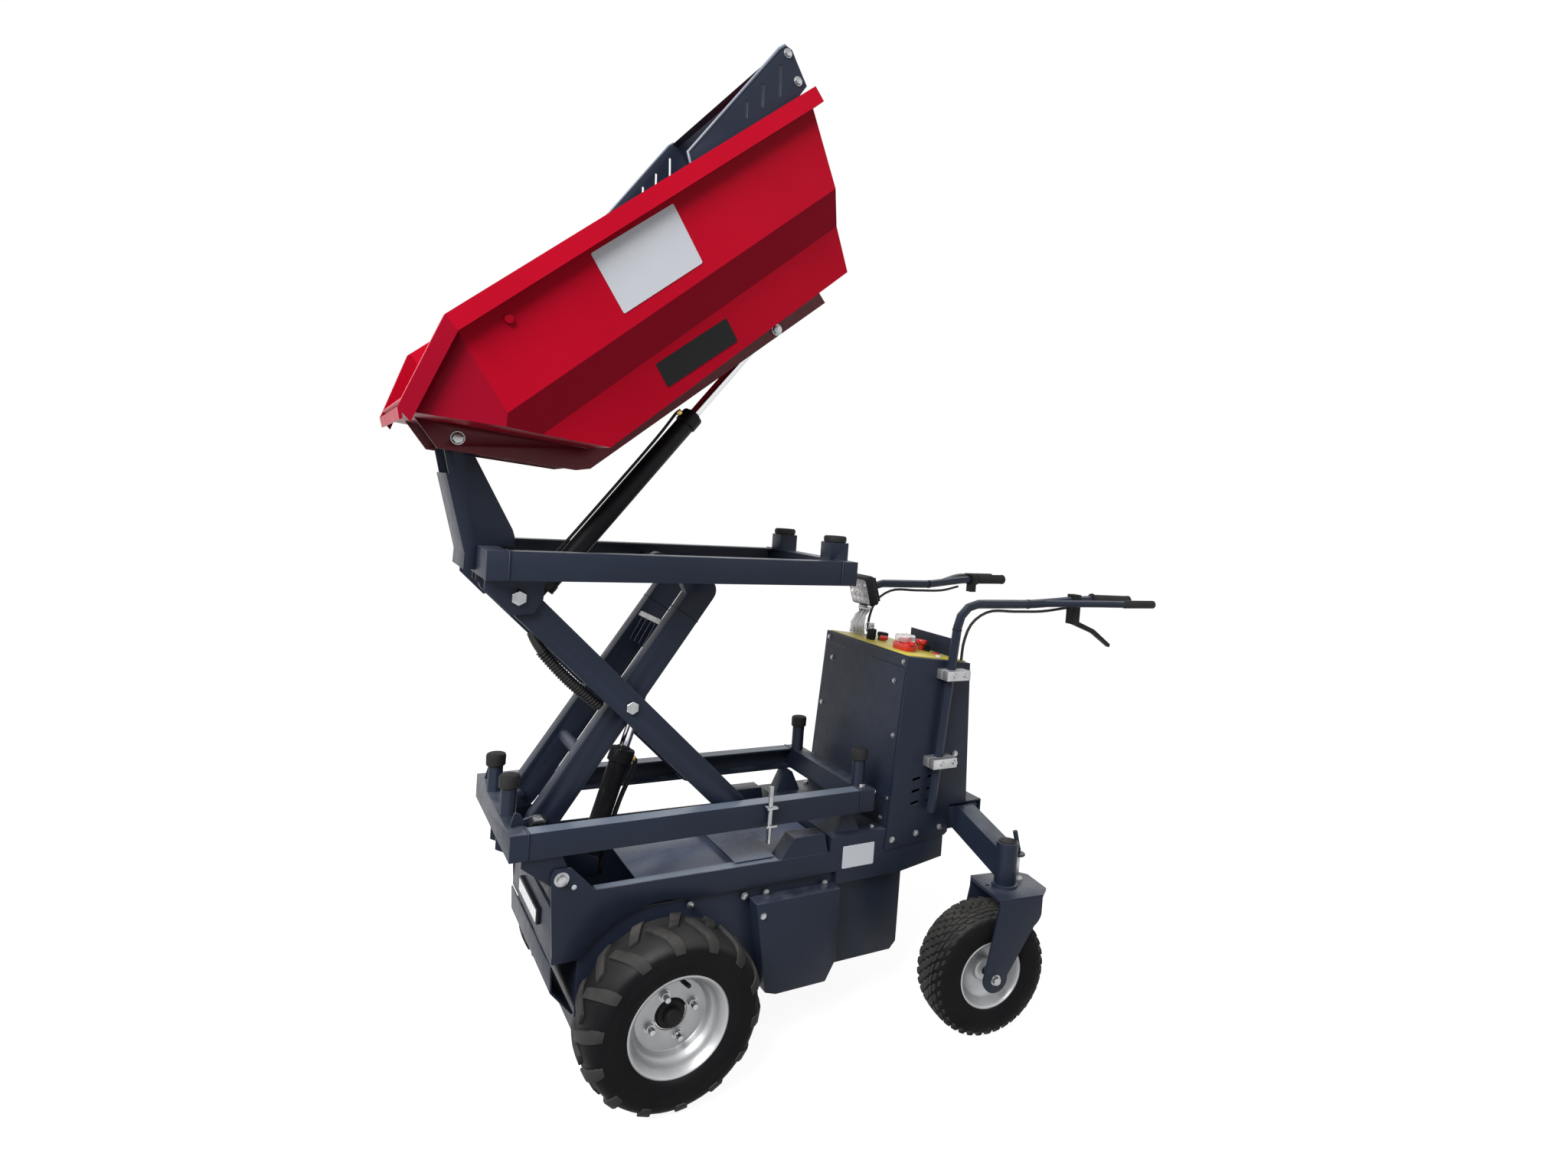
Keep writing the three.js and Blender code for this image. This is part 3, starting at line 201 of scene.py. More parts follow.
finishes = {
    # the machine paint's pale blue-grey dust colour is painted sky sheen on up-facing parts as well as dust
    "machinePaint": {"colour": (0.0115, 0.0165, 0.030), "second": (0.009, 0.013, 0.025),
        "roughness": (0.34, 0.48), "specular": 0.17, "shine": 0.7, "grain": 420.0, "grainDepth": 0.00012,
        "dustAndSheen": 0.45, "dustAndSheenColour": (0.12, 0.14, 0.18), "marks": 0.06, "markColour": (0.2, 0.2, 0.21)},
    # the skip's under colour is painted shade on its down-facing bands
    "skipPaint": {"colour": (0.43, 0.0030, 0.018), "second": (0.37, 0.0025, 0.015),
        "roughness": (0.28, 0.4), "under": (0.31, 0.0030, 0.018), "specular": 0.05, "grain": 380.0,
        "dustAndSheen": 0.1, "dustAndSheenColour": (0.36, 0.1, 0.09), "marks": 0.1, "markColour": (0.2, 0.02, 0.02),
        "toneScale": 2.5},
    "subframePaint": {"colour": (0.11, 0.003, 0.009), "second": (0.085, 0.0025, 0.007),
        "roughness": (0.3, 0.44), "specular": 0.25, "grain": 380.0, "dustAndSheen": 0.15,
        "dustAndSheenColour": (0.2, 0.08, 0.07)},
    # painted highlight: a pale blue-grey for light caught on folds and up-facing flange tops
    "paintedHighlight": {"colour": (0.14, 0.17, 0.22), "second": (0.10, 0.12, 0.16), "roughness": (0.3, 0.44),
        "grain": 420.0},
    "blackPaint": {"colour": (0.006, 0.006, 0.008), "second": (0.009, 0.009, 0.011),
        "roughness": (0.42, 0.56), "specular": 0.14, "grain": 500.0, "grainDepth": 0.00008, "marks": 0.15},
    "blackPlastic": {"colour": (0.009, 0.009, 0.010), "second": (0.012, 0.012, 0.013),
        "roughness": (0.45, 0.62), "specular": 0.12, "grain": 900.0, "grainDepth": 0.0002},
    "tyreRubber": {"colour": (0.0045, 0.0045, 0.0055), "second": (0.007, 0.007, 0.0075),
        "roughness": (0.5, 0.75), "specular": 0.06, "shine": 0.5, "toneScale": 9.0, "glossScale": 14.0,
        "grain": 500.0, "grainDepth": 0.0003, "dustAndSheen": 0.2, "dustAndSheenColour": (0.085, 0.078, 0.068)},
    "treadRubber": {"colour": (0.022, 0.022, 0.022), "second": (0.036, 0.035, 0.034),
        "roughness": (0.55, 0.8), "specular": 0.12, "toneScale": 30.0, "grain": 500.0, "grainDepth": 0.0003,
        "dustAndSheen": 0.5, "dustAndSheenColour": (0.13, 0.12, 0.105)},
    "hoseRubber": {"colour": (0.007, 0.007, 0.008), "second": (0.010, 0.010, 0.010),
        "roughness": (0.4, 0.6), "specular": 0.25, "grain": 1400.0, "grainDepth": 0.0004},
    "gripRubber": {"colour": (0.009, 0.009, 0.010), "second": (0.013, 0.013, 0.014),
        "roughness": (0.55, 0.75), "specular": 0.2, "grain": 1100.0, "grainDepth": 0.0006},
    "rimPaint": {"colour": (0.42, 0.43, 0.44), "second": (0.34, 0.345, 0.35), "roughness": (0.32, 0.5),
        "metallic": 0.55, "grain": 700.0, "marks": 0.3, "markColour": (0.22, 0.21, 0.2)},
    "zincSteel": {"colour": (0.42, 0.43, 0.44), "second": (0.3, 0.31, 0.32), "roughness": (0.2, 0.38),
        "metallic": 1.0, "toneScale": 40.0, "grain": 900.0},
    "castAluminium": {"colour": (0.5, 0.5, 0.51), "second": (0.38, 0.38, 0.39), "roughness": (0.35, 0.55),
        "metallic": 0.9, "toneScale": 30.0, "grain": 900.0, "grainDepth": 0.0003},
    "rodChrome": {"colour": (0.75, 0.75, 0.76), "second": (0.68, 0.68, 0.7), "roughness": (0.06, 0.14),
        "metallic": 1.0, "grain": 300.0, "grainDepth": 0.00003},
    "brass": {"colour": (0.6, 0.42, 0.16), "second": (0.5, 0.33, 0.12), "roughness": (0.25, 0.42),
        "metallic": 1.0, "toneScale": 50.0, "grain": 900.0},
    "deckSheet": {"colour": (0.085, 0.105, 0.155), "second": (0.06, 0.075, 0.12), "roughness": (0.22, 0.36),
        "toneScale": 6.0, "grain": 420.0},
    "platePaint": {"colour": (0.55, 0.46, 0.06), "second": (0.48, 0.40, 0.05), "roughness": (0.32, 0.46),
        "grain": 700.0},
    "redPlastic": {"colour": (0.55, 0.012, 0.010), "second": (0.46, 0.010, 0.008),
        "roughness": (0.22, 0.34), "coat": 0.3, "grain": 500.0, "grainDepth": 0.00005},
    "labelWhite": {"colour": (0.50, 0.52, 0.56), "second": (0.46, 0.48, 0.52), "roughness": (0.3, 0.42),
        "grain": 500.0, "grainDepth": 0.00005},
    "lampLens": {"colour": (0.62, 0.64, 0.66), "second": (0.5, 0.52, 0.55), "roughness": (0.08, 0.2),
        "metallic": 0.3, "coat": 0.8, "toneScale": 90.0, "grain": 160.0, "grainDepth": 0.0006},
}
materials = {name: finish(name, look) for name, look in finishes.items()}
materials["clearPlastic"] = glassFinish("clearPlastic", (0.93, 0.90, 0.90), 0.04)
print("materials made")


# modelling tools

facesOut = (bpy.ops.mesh.normals_make_consistent, {"inside": False})


def only(*pieces):
    bpy.ops.object.select_all(action="DESELECT")
    for piece in pieces:
        piece.select_set(True)
    bpy.context.view_layer.objects.active = pieces[0]


def applied(piece, kind, **values):
    modifier = piece.modifiers.new(kind.title(), kind)
    for name, value in values.items():
        setattr(modifier, name, value)
    only(piece)
    bpy.ops.object.modifier_apply(modifier=modifier.name)
    return piece


def bevelled(piece, width, segments=2, angle=30):
    if width <= 0:
        return piece
    return applied(piece, "BEVEL", width=width / 1000, segments=segments, limit_method="ANGLE",
                   angle_limit=math.radians(angle), harden_normals=False)


def reworked(piece, *steps):  # each step is an operator on the whole mesh, and what it is told
    only(piece)
    bpy.ops.object.mode_set(mode="EDIT")
    for operator, values in steps:
        bpy.ops.mesh.select_all(action="SELECT")
        operator(**values)
    bpy.ops.object.mode_set(mode="OBJECT")
    return piece


def tidied(piece):  # doubles merged and faces turned outwards
    return reworked(piece, (bpy.ops.mesh.remove_doubles, {"threshold": 0.00002}), facesOut)


def settled(piece, name, finishName, body="chassis", smooth=35):
    only(piece)
    bpy.ops.object.transform_apply(location=True, rotation=True, scale=True)
    bpy.ops.object.shade_smooth_by_angle(angle=math.radians(smooth))
    piece.name = name
    piece.data.name = name
    piece.data.materials.clear()
    piece.data.materials.append(materials[finishName])
    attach(piece, body)
    return piece


def cube(matrix):  # a unit cube, shaped and placed by a matrix
    bpy.ops.mesh.primitive_cube_add(size=1)
    piece = bpy.context.object
    piece.data.transform(matrix)
    return piece


def joined(pieces):
    only(*pieces)
    if len(pieces) > 1:
        bpy.ops.object.join()
    return pieces[0]


def copied(piece, matrix=Matrix()):
    twin = piece.copy()
    twin.data = piece.data.copy()
    bpy.context.collection.objects.link(twin)
    twin.data.transform(matrix)
    return twin


def otherSide(piece):  # a mirror image across the machine's middle
    twin = copied(piece, Matrix.Scale(-1, 4, (1, 0, 0)))
    twin.data.flip_normals()
    return twin


def bothSides(*pieces):
    return [*pieces, *(otherSide(piece) for piece in pieces)]


def carved(piece, *cutters):  # cuts the cutters out of a piece and takes them away
    for cutter in cutters:
        applied(piece, "BOOLEAN", object=cutter, operation="DIFFERENCE", solver="EXACT")
        bpy.data.objects.remove(cutter)
    return piece


def block(x0, x1, y0, y1, z0, z1, bevel=1.5, segments=2):
    low, high = at(x0, y0, z0), at(x1, y1, z1)
    bpy.ops.mesh.primitive_cube_add(size=1, location=(low + high) / 2)
    piece = bpy.context.object
    piece.scale = high - low
    bpy.ops.object.transform_apply(location=True, rotation=True, scale=True)
    return bevelled(piece, bevel, segments)


def cylinder(start, end, radius, sides=24, bevel=1.0):
    along = end - start
    bpy.ops.mesh.primitive_cylinder_add(vertices=sides, radius=radius / 1000, depth=along.length,
                                        location=(start + end) / 2)
    piece = bpy.context.object
    piece.rotation_mode = "QUATERNION"
    piece.rotation_quaternion = Vector((0, 0, 1)).rotation_difference(along)
    bpy.ops.object.transform_apply(location=True, rotation=True, scale=True)
    return bevelled(piece, bevel)


def crossBar(y, z, radius, x0, x1, sides=24, bevel=1.0):
    return cylinder(at(x0, y, z), at(x1, y, z), radius, sides, bevel)


def rounded(points, radius, steps=4):  # an outline with its corners rounded
    result = []
    count = len(points)
    for index, point in enumerate(points):
        corner = Vector(point)
        before = Vector(points[index - 1]) - corner
        after = Vector(points[(index + 1) % count]) - corner
        reach = min(radius, before.length * 0.45, after.length * 0.45)
        start = corner + before.normalized() * reach
        end = corner + after.normalized() * reach
        for step in range(steps + 1):
            t = step / steps
            result.append(tuple(start * (1 - t) ** 2 + corner * 2 * t * (1 - t) + end * t ** 2))
    return result


def outlined(points, place, push, bevel=0.8, segments=1):
    bpy.ops.mesh.primitive_circle_add(vertices=len(points), fill_type="NGON")
    piece = bpy.context.object
    for vertex, point in zip(piece.data.vertices, points):
        vertex.co = place(*point)
    pushed = (bpy.ops.mesh.extrude_region_move, {"TRANSFORM_OT_translate": {"value": push}})
    return bevelled(reworked(piece, pushed, facesOut), bevel, segments)


def sidePlate(points, x0, x1, bevel=0.8, place=at):  # a [y, z] outline made solid across the machine
    return outlined(points, lambda y, z: place(x0, y, z), Vector(((x1 - x0) / 1000, 0, 0)), bevel)


def turned(profile, centre, axis=(1, 0, 0), steps=48):
    bpy.ops.mesh.primitive_circle_add(vertices=len(profile), fill_type="NOTHING")
    piece = bpy.context.object
    lengthwise = Vector(axis).normalized()
    sideways = Vector((0, 0, 1)) if abs(lengthwise.z) < 0.9 else Vector((0, 1, 0))
    sideways = (sideways - lengthwise * sideways.dot(lengthwise)).normalized()
    for vertex, (radius, along) in zip(piece.data.vertices, profile):
        vertex.co = centre + sideways * (radius / 1000) + lengthwise * (along / 1000)
    spun = {"steps": steps, "angle": math.tau, "center": centre, "axis": lengthwise}
    gap = {"threshold": 0.00001}
    return reworked(piece, (bpy.ops.mesh.spin, spun), (bpy.ops.mesh.remove_doubles, gap),
                    (bpy.ops.mesh.dissolve_degenerate, gap), facesOut)


def curveThrough(points, radius, smooth=True, resolution=5, sides=5):
    data = bpy.data.curves.new("route", "CURVE")
    data.dimensions = "3D"
    data.bevel_depth = radius / 1000
    data.bevel_resolution = sides
    data.use_fill_caps = True
    data.resolution_u = resolution
    spline = data.splines.new("NURBS" if smooth else "POLY")
    spline.points.add(len(points) - 1)
    for knot, point in zip(spline.points, points):
        knot.co = (*point, 1)
    if smooth:
        spline.order_u = 4
        spline.use_endpoint_u = True
    piece = bpy.data.objects.new("route", data)
    bpy.context.collection.objects.link(piece)
    only(piece)
    bpy.ops.object.convert(target="MESH")
    return tidied(bpy.context.object)


def softened(node, width=1.5, segments=2):
    source = frame["nodes"][node]
    piece = source.copy()
    piece.data = source.data.copy()
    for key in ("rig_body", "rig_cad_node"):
        if key in piece:
            del piece[key]
    piece.parent = None
    bpy.context.collection.objects.link(piece)
    reworked(piece, (bpy.ops.mesh.remove_doubles, {"threshold": 0.00002}),
             (bpy.ops.mesh.dissolve_limited, {"angle_limit": math.radians(0.6)}))
    if piece.data.has_custom_normals:
        bpy.ops.mesh.customdata_custom_splitnormals_clear()
    return bevelled(piece, width, segments)


def dressNode(node, finishName, width=1.5, segments=2, smooth=35, cutters=()):
    body = frame["nodes"][node]["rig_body"]
    piece = carved(softened(node, width, segments), *cutters)
    settled(piece, node + "_shape", finishName, body, smooth)
    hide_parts(node)
    return piece


# bolts, washers and nuts, modelled once and copied

def headTemplate(sides, height, washer, corner=0.0):
    bpy.ops.mesh.primitive_cylinder_add(vertices=sides, radius=1, depth=height, location=(0, 0, height / 2))
    head = bpy.context.object
    bpy.ops.object.transform_apply(location=True)
    if corner:
        bevelled(head, corner * 1000, 4, 60)
    chamfer = {"offset": 0.05 if corner else 0.1, "segments": 2, "affect": "EDGES"}
    reworked(head, (bpy.ops.mesh.bevel, chamfer))
    parts = [head]
    if washer:
        bpy.ops.mesh.primitive_cylinder_add(vertices=24, radius=washer, depth=0.16, location=(0, 0, 0.02))
        parts.append(bpy.context.object)
        bpy.ops.object.transform_apply(location=True)
        parts[0].data.transform(Matrix.Translation((0, 0, 0.08)))
    return joined(parts)


boltHeads = {"hex": headTemplate(6, 0.62, 1.22), "nut": headTemplate(6, 0.85, 1.25),
             "button": headTemplate(16, 0.45, 1.2), "square": headTemplate(6, 0.42, 0, 0.3)}


def boltSet(name, body, kind, radius, spots, spin=12):
    heads = []
    for place, direction in spots:
        turn = Vector((0, 0, 1)).rotation_difference(Vector(direction)).to_matrix().to_4x4()
        turn = turn @ Matrix.Rotation(math.radians(spin), 4, "Z")
        size = Matrix.Scale(radius / 1000, 4)
        heads.append(copied(boltHeads[kind], Matrix.Translation(place) @ turn @ size))
    settled(joined(heads), name, "zincSteel", body)


def boltPairs(name, body, kind, radius, spots, facing=(1, 0, 0), spin=12, place=at):  # on both sides
    _, back, up = facing
    boltSet(name, body, kind, radius, [(place(side * x, y, z), (side * facing[0], back, up))
                                       for side in (1, -1) for x, y, z in spots], spin)


# welded and folded frames

framePieces = {
    "chassis": 1.6, "chassis_pan": 1.4, "rear_box": 2.0, "base_frame": 2.2, "top_frame": 2.2,
    "tipping_post": 1.5, "inner_arms": 3.0, "outer_arms": 3.0, "caster_arm_left": 2.0,
    "caster_arm_right": 2.0, "side_cover_left": 3.5, "side_cover_right": 3.5, "front_panel": 0.8,
    "handlebar_left": 0, "handlebar_right": 0,
}


def slot(x0, x1, y, z, long, wide, lean=0.0):  # a long hole's cutter through a side wall
    half = long / 2 - wide / 2
    ends = [(y - half, z - half * lean), (y + half, z + half * lean)]
    pieces = [cylinder(at(x0, *end), at(x1, *end), wide / 2, 16, 0) for end in ends]
    bar = sidePlate([(ends[0][0], ends[0][1] - wide / 2), (ends[1][0], ends[1][1] - wide / 2),
                     (ends[1][0], ends[1][1] + wide / 2), (ends[0][0], ends[0][1] + wide / 2)], x0, x1, 0)
    for piece in pieces:
        applied(bar, "BOOLEAN", object=piece, operation="UNION", solver="EXACT")
        bpy.data.objects.remove(piece)
    return bar


def dressFrames():
    for node, width in framePieces.items():
        dressNode(node, "machinePaint", width)
    slots = [block(side * x - 3, side * x + 3, 1240, 1256, 482, 508, 0) for x in (119, 147, 180, 208)
             for side in (1, -1)]
    dressNode("rear_channel", "machinePaint", 1.5, cutters=[joined(slots)])
    for side, sign in (("left", 1), ("right", -1)):
        hole = cylinder(at(sign * 377, 1164, 350), at(sign * 377, 1164, 390), 5.5, 20, 0)
        dressNode(f"caster_fork_{side}", "machinePaint", 1.5, cutters=[hole])
    dressNode("deck_plate", "deckSheet", 0.8)
    dressNode("drive_unit", "blackPaint", 2)
    dressNode("battery_box", "blackPlastic", 6)
    dressNode("stub_axle_left", "zincSteel", 1)
    dressNode("stub_axle_right", "zincSteel", 1)
    print("frames dressed")


def weldBeads(name, body, runs):  # each run goes round a corner of a welded joint
    beads = [curveThrough([at(*point) for point in run], 2.4, smooth=False, sides=2) for run in runs]
    settled(joined(beads), name, "machinePaint", body, 60)


weldLook = {"half": 224, "reach": 42, "base_frame": (558, 615, (36.5, 846.5)),
            "top_frame": (1146, 1206, (-31.5, 743.5))}


def frameWelds(low, top, joints):  # round the rails' ends, where the cross members meet them
    half, inner = weldLook["half"], weldLook["half"] - weldLook["reach"]
    outline = ((half + 0.4, low + 3), (half + 0.4, top - 1), (half - 1, top + 0.4), (inner, top + 0.4))
    return [[(side * x, y, z) for x, z in outline] for y in joints for side in (1, -1)]


def addWelds():
    for body in ("base_frame", "top_frame"):
        weldBeads(f"{body}_welds", body, frameWelds(*weldLook[body]))


# bumper posts on the lower frame and pads on the upper one

bumpers = {"front": (86, 18, 704, 21.5, 29), "rear": (176, 862, 713, 21.5, 29),
           "pad": (146, 759, 1266.5, 29, 16)}


def rubberCap(x, y, top, radius, deep):
    low = top - deep
    profile = [(0, low), (radius - 2, low), (radius, low + 2), (radius + 0.6, top - 6),
               (radius - 1, top - 1.5), (radius - 4, top), (0, top)]
    return turned(profile, at(x, y, 0), (0, 0, 1), 32)


def addBumpers():  # each is given across, back, its top, its radius and its depth
    caps = [rubberCap(side * x, *rest) for side in (1, -1)
            for x, *rest in (bumpers["front"], bumpers["rear"])]
    settled(joined(caps), "bumper_caps", "gripRubber", "base_frame")
    x, *rest = bumpers["pad"]
    pads = [rubberCap(side * x, *rest) for side in (1, -1)]
    settled(joined(pads), "skip_rest_pads", "gripRubber", "top_frame")
    print("bumpers made")


# the skip, its folded rim and what is fixed to it

skipTrim = {"plugAt": (366, 177, 134), "blankPlate": ((379, 154), (582, 151), (571, 27), (368, 30)),
            "badge": ((378, -88), (570, -95), (567, -150), (374, -142)),
            "guardSlots": ((833, 214, 856, 242), (880, 216, 911, 253), (931, 216, 972, 268))}


def skipPlate(corners, halfAt, thickness, finishName, name):
    outward = skipPlace.to_3x3() @ Vector((thickness / 1000, 0, 0))
    plate = outlined(rounded(corners, 4), lambda along, up: onSkip(halfAt(up), along, up), outward, 0)
    settled(plate, name, finishName, "skip")


def upperPanelHalf(up):  # outside of the skip's upper side panel
    return 347 + (366 - 347) * up / 196 + 0.2


def lowerPanelHalf(up):
    return 281 + (300 - 281) * (up + 172) / 100 + 0.2


def guardSlots():  # leaning slots through the guard's wings
    slots = []
    for along, up, alongTop, upTop in skipTrim["guardSlots"]:
        lean = math.atan2(upTop - up, alongTop - along)
        middle = Matrix.Translation(Vector((352, (along + alongTop) / 2, (up + upTop) / 2)) / 1000)
        size = Matrix.Diagonal((0.014, math.hypot(alongTop - along, upTop - up) / 1000, 0.006, 1))
        slots.append(bevelled(cube(skipPlace @ middle @ Matrix.Rotation(lean, 4, "X") @ size), 2.5, 3, 60))
    return joined(bothSides(*slots))


def dressSkip():
    dressNode("tub", "skipPaint", 1.4, 2, smooth=12)
    dressNode("tub_frame", "subframePaint", 1.5, 2)
    dressNode("spill_guard", "machinePaint", 0.8, 2, cutters=[guardSlots()])
    skipPlate(skipTrim["blankPlate"], upperPanelHalf, 0.8, "labelWhite", "side_label")
    skipPlate(skipTrim["badge"], lowerPanelHalf, 1.0, "blackPlastic", "side_badge")
    across, along, up = skipTrim["plugAt"]
    plug = cylinder(onSkip(across - 4, along, up), onSkip(across + 1, along, up), 8.5, 20, 0.8)
    settled(plug, "side_plug", "skipPaint", "skip")
    # painted highlight: a pale line along the fold of each guard wing
    fold = [(668, 197), (676, 217), (989, 295), (1007, 295)]
    foldHighlights = [curveThrough([onSkip(side * 353, *spot) for spot in fold], 3.2, smooth=False, sides=3)
             for side in (1, -1)]
    settled(joined(foldHighlights), "guard_fold_highlight", "paintedHighlight", "skip", 60)
    boltPairs("subframe_bolts", "skip", "hex", 11.5, ((111.4, 0, 0), (111.4, 745, -208)), place=onSkip)
    boltPairs("guard_bolts", "skip", "hex", 8, ((354.4, 1002, 279), (354.4, 990, 223)), place=onSkip)
    print("skip dressed")


# scissor arms

armLook = {"centre": (253, 857), "head": (-3, 1107), "foot": (72, 606), "framePivot": (108.5, 506.4),
           "innerTurn": 57, "sleeve": (84.4, 125.6, 0.0316)}


def addArmFittings():
    boltPairs("arm_centre_nuts", "outer_arms", "square", 16, ((172.4, *armLook["centre"]),), spin=30)
    boltPairs("arm_head_nuts", "top_frame", "square", 17, ((188, *armLook["head"]),), spin=30)
    boltPairs("arm_foot_nuts", "base_frame", "hex", 15, ((137.4, *armLook["foot"]),))
    boltPairs("frame_pivot_bolts", "chassis", "hex", 11, ((224.9, *armLook["framePivot"]),))
    turn = math.radians(armLook["innerTurn"])
    along, out = Vector((0, math.cos(turn), math.sin(turn))), Vector((0, math.sin(turn), -math.cos(turn)))
    centre = at(0, *armLook["centre"])
    shelf = [centre + along * d + out * h
             for d, h in ((0.19, -0.028), (0.203, -0.028), (0.203, 0.028), (0.19, 0.028))]
    plate = outlined([(place.y, place.z) for place in shelf], lambda y, z: Vector((-0.084, y, z)),
                     Vector((0.168, 0, 0)), 1.2)
    settled(plate, "arm_shelf", "castAluminium", "inner_arms")
    ribs = []
    low, high = centre + along * 0.128, centre + along * 0.187
    for x in (-52, -18, 18, 52):
        corners = [(p.y, p.z)
                   for p in (low - out * 0.02, high - out * 0.026, high + out * 0.026, low + out * 0.02)]
        ribs.append(outlined(corners, lambda y, z, x=x: Vector(((x - 2) / 1000, y, z)),
                             Vector((0.004, 0, 0)), 0.4))
    settled(joined(ribs), "arm_ribs", "machinePaint", "inner_arms")
    seams = []
    near, far, deep = armLook["sleeve"]
    for side in (1, -1):  # the sleeve's edge round each inner arm
        corners = [centre + along * 0.243 + out * h + Vector((side * x / 1000, 0, 0))
                   for x, h in ((near, -deep), (far, -deep), (far, deep), (near, deep), (near, -deep))]
        seams.append(curveThrough(corners, 1.3, smooth=False, sides=2))
    settled(joined(seams), "arm_seams", "blackPaint", "inner_arms")
    print("arm fittings made")


# hydraulic cylinders: each is dressed about its own axis

liftCylinder = {"foot": (215, 440), "eye": (350, 925), "radius": 24, "length": 285, "rod": 13,
                "barrel": "lift_barrel", "rodNode": "lift_rod", "collar": 30, "portSide": -1,
                "pipeRadius": 6, "pipe": ((265, 35), (262, 42), (230, 42), (180, 33), (120, 32), (40, 34),
                                          (-4, 40), (-20, 44))}
tipCylinder = {"foot": (62, 1080), "eye": (618.6, 1811.3), "radius": 24, "length": 580, "rod": 13,
               "barrel": "tip_barrel", "rodNode": "tip_rod", "collar": 27, "portSide": 1,
               "pipeRadius": 3.6, "pipe": ((560, 34), (552, 36), (520, 31), (400, 29), (160, 29),
                                           (110, 30), (70, 34), (62, 36))}


def dressCylinder(look):
    foot, eye = at(0, *look["foot"]), at(0, *look["eye"])
    along = (eye - foot).normalized()
    radius, length = look["radius"], look["length"]
    dressNode(look["barrel"], "blackPaint", 1.0)
    dressNode(look["rodNode"], "rodChrome", 0.6)
    collar = look["collar"]
    head = [(look["rod"] + 1.2, length - 34), (radius + 0.3, length - 34), (collar, length - 32),
            (collar, length - 4), (collar - 2, length), (look["rod"] + 5, length + 1),
            (look["rod"] + 1.2, length + 1)]
    base = [(radius + 0.3, 34), (collar - 1, 34), (collar - 1, 52), (radius + 0.3, 56)]
    rings = [turned(head, foot, along, 40), turned(base, foot, along, 40)]
    settled(joined(rings), look["barrel"] + "_rings", "blackPaint", look["barrel"])
    wiper = [(look["rod"] + 0.3, length + 1), (look["rod"] + 4, length + 1), (look["rod"] + 3, length + 5),
             (look["rod"] + 0.3, length + 6)]
    settled(turned(wiper, foot, along, 32), look["barrel"] + "_wiper", "gripRubber", look["barrel"])
    side = Vector((0, -along.z, along.y)) * look["portSide"]
    starts = [foot + along * where / 1000 for where in (66, length - 20)]
    ports = [cylinder(start + side * 0.018, start + side * 0.036, 8, 20, 1) for start in starts]
    settled(joined(ports), look["barrel"] + "_ports", "brass", look["barrel"])
    route = [foot + along * where / 1000 + side * away / 1000 for where, away in look["pipe"]]
    pipe = curveThrough(route, look["pipeRadius"])
    settled(pipe, look["barrel"] + "_pipe", "hoseRubber", look["barrel"])


# tyres and rims

frontTyre = {"radius": 203, "count": 14, "centre": (304, 336, 203)}


def frontCarcass(centre):
    half = [(106, 66), (114, 70), (124, 77), (138, 80), (148, 80.5), (150, 79.4), (162, 79.6), (174, 76),
            (184, 67), (191, 50), (194.5, 26)]
    profile = half + [(r, -x) for r, x in reversed(half)]
    return turned(profile, centre, (1, 0, 0), 72)


def treadLug(centre):
    stations = [(-12, -7, 202.8, 11), (10, 3, 203, 12), (34, 13, 201.6, 13), (54, 22, 197.6, 14),
                (66, 27, 191, 15), (75, 31, 181, 15), (80.6, 33, 168, 13)]
    bpy.ops.mesh.primitive_grid_add(x_subdivisions=len(stations) - 1, y_subdivisions=1)
    piece = bpy.context.object
    width = len(stations)
    for index, vertex in enumerate(piece.data.vertices):
        x, shift, radius, halfWide = stations[index % width]
        sideways = -halfWide if index < width else halfWide
        angle = -(shift + sideways) / frontTyre["radius"]
        vertex.co = centre + Vector((x, math.cos(angle) * radius, math.sin(angle) * radius)) / 1000
    applied(piece, "SOLIDIFY", thickness=0.012, offset=-1)
    tidied(piece)
    return bevelled(piece, 1.8, 2, 35)


def dressFrontTyre():
    centre = at(*frontTyre["centre"])
    pitch = math.tau / frontTyre["count"]
    there, back = Matrix.Translation(centre), Matrix.Translation(-centre)
    lug = treadLug(centre)
    mirror = copied(lug, there @ Matrix.Scale(-1, 4, (1, 0, 0)) @ back)
    mirror.data.flip_normals()
    lugs = []
    for index in range(frontTyre["count"]):
        for template, shift in ((lug, 0), (mirror, 0.5)):
            turn = Matrix.Rotation((index + shift) * pitch, 4, "X")
            lugs.append(copied(template, there @ turn @ back))
    for template in (lug, mirror):
        bpy.data.objects.remove(template)
    for piece, part, finishName in ((frontCarcass(centre), "carcass", "tyreRubber"),
                                    (joined(lugs), "lugs", "treadRubber")):
        twin = otherSide(piece)
        for half, side in ((piece, "left"), (twin, "right")):
            settled(half, f"front_tyre_{side}_{part}", finishName, f"front_wheel_{side}", 40)
            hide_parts(f"front_tyre_{side}")
    print("front tyres made")


frontRim = {"studCircle": 50, "studs": 4}


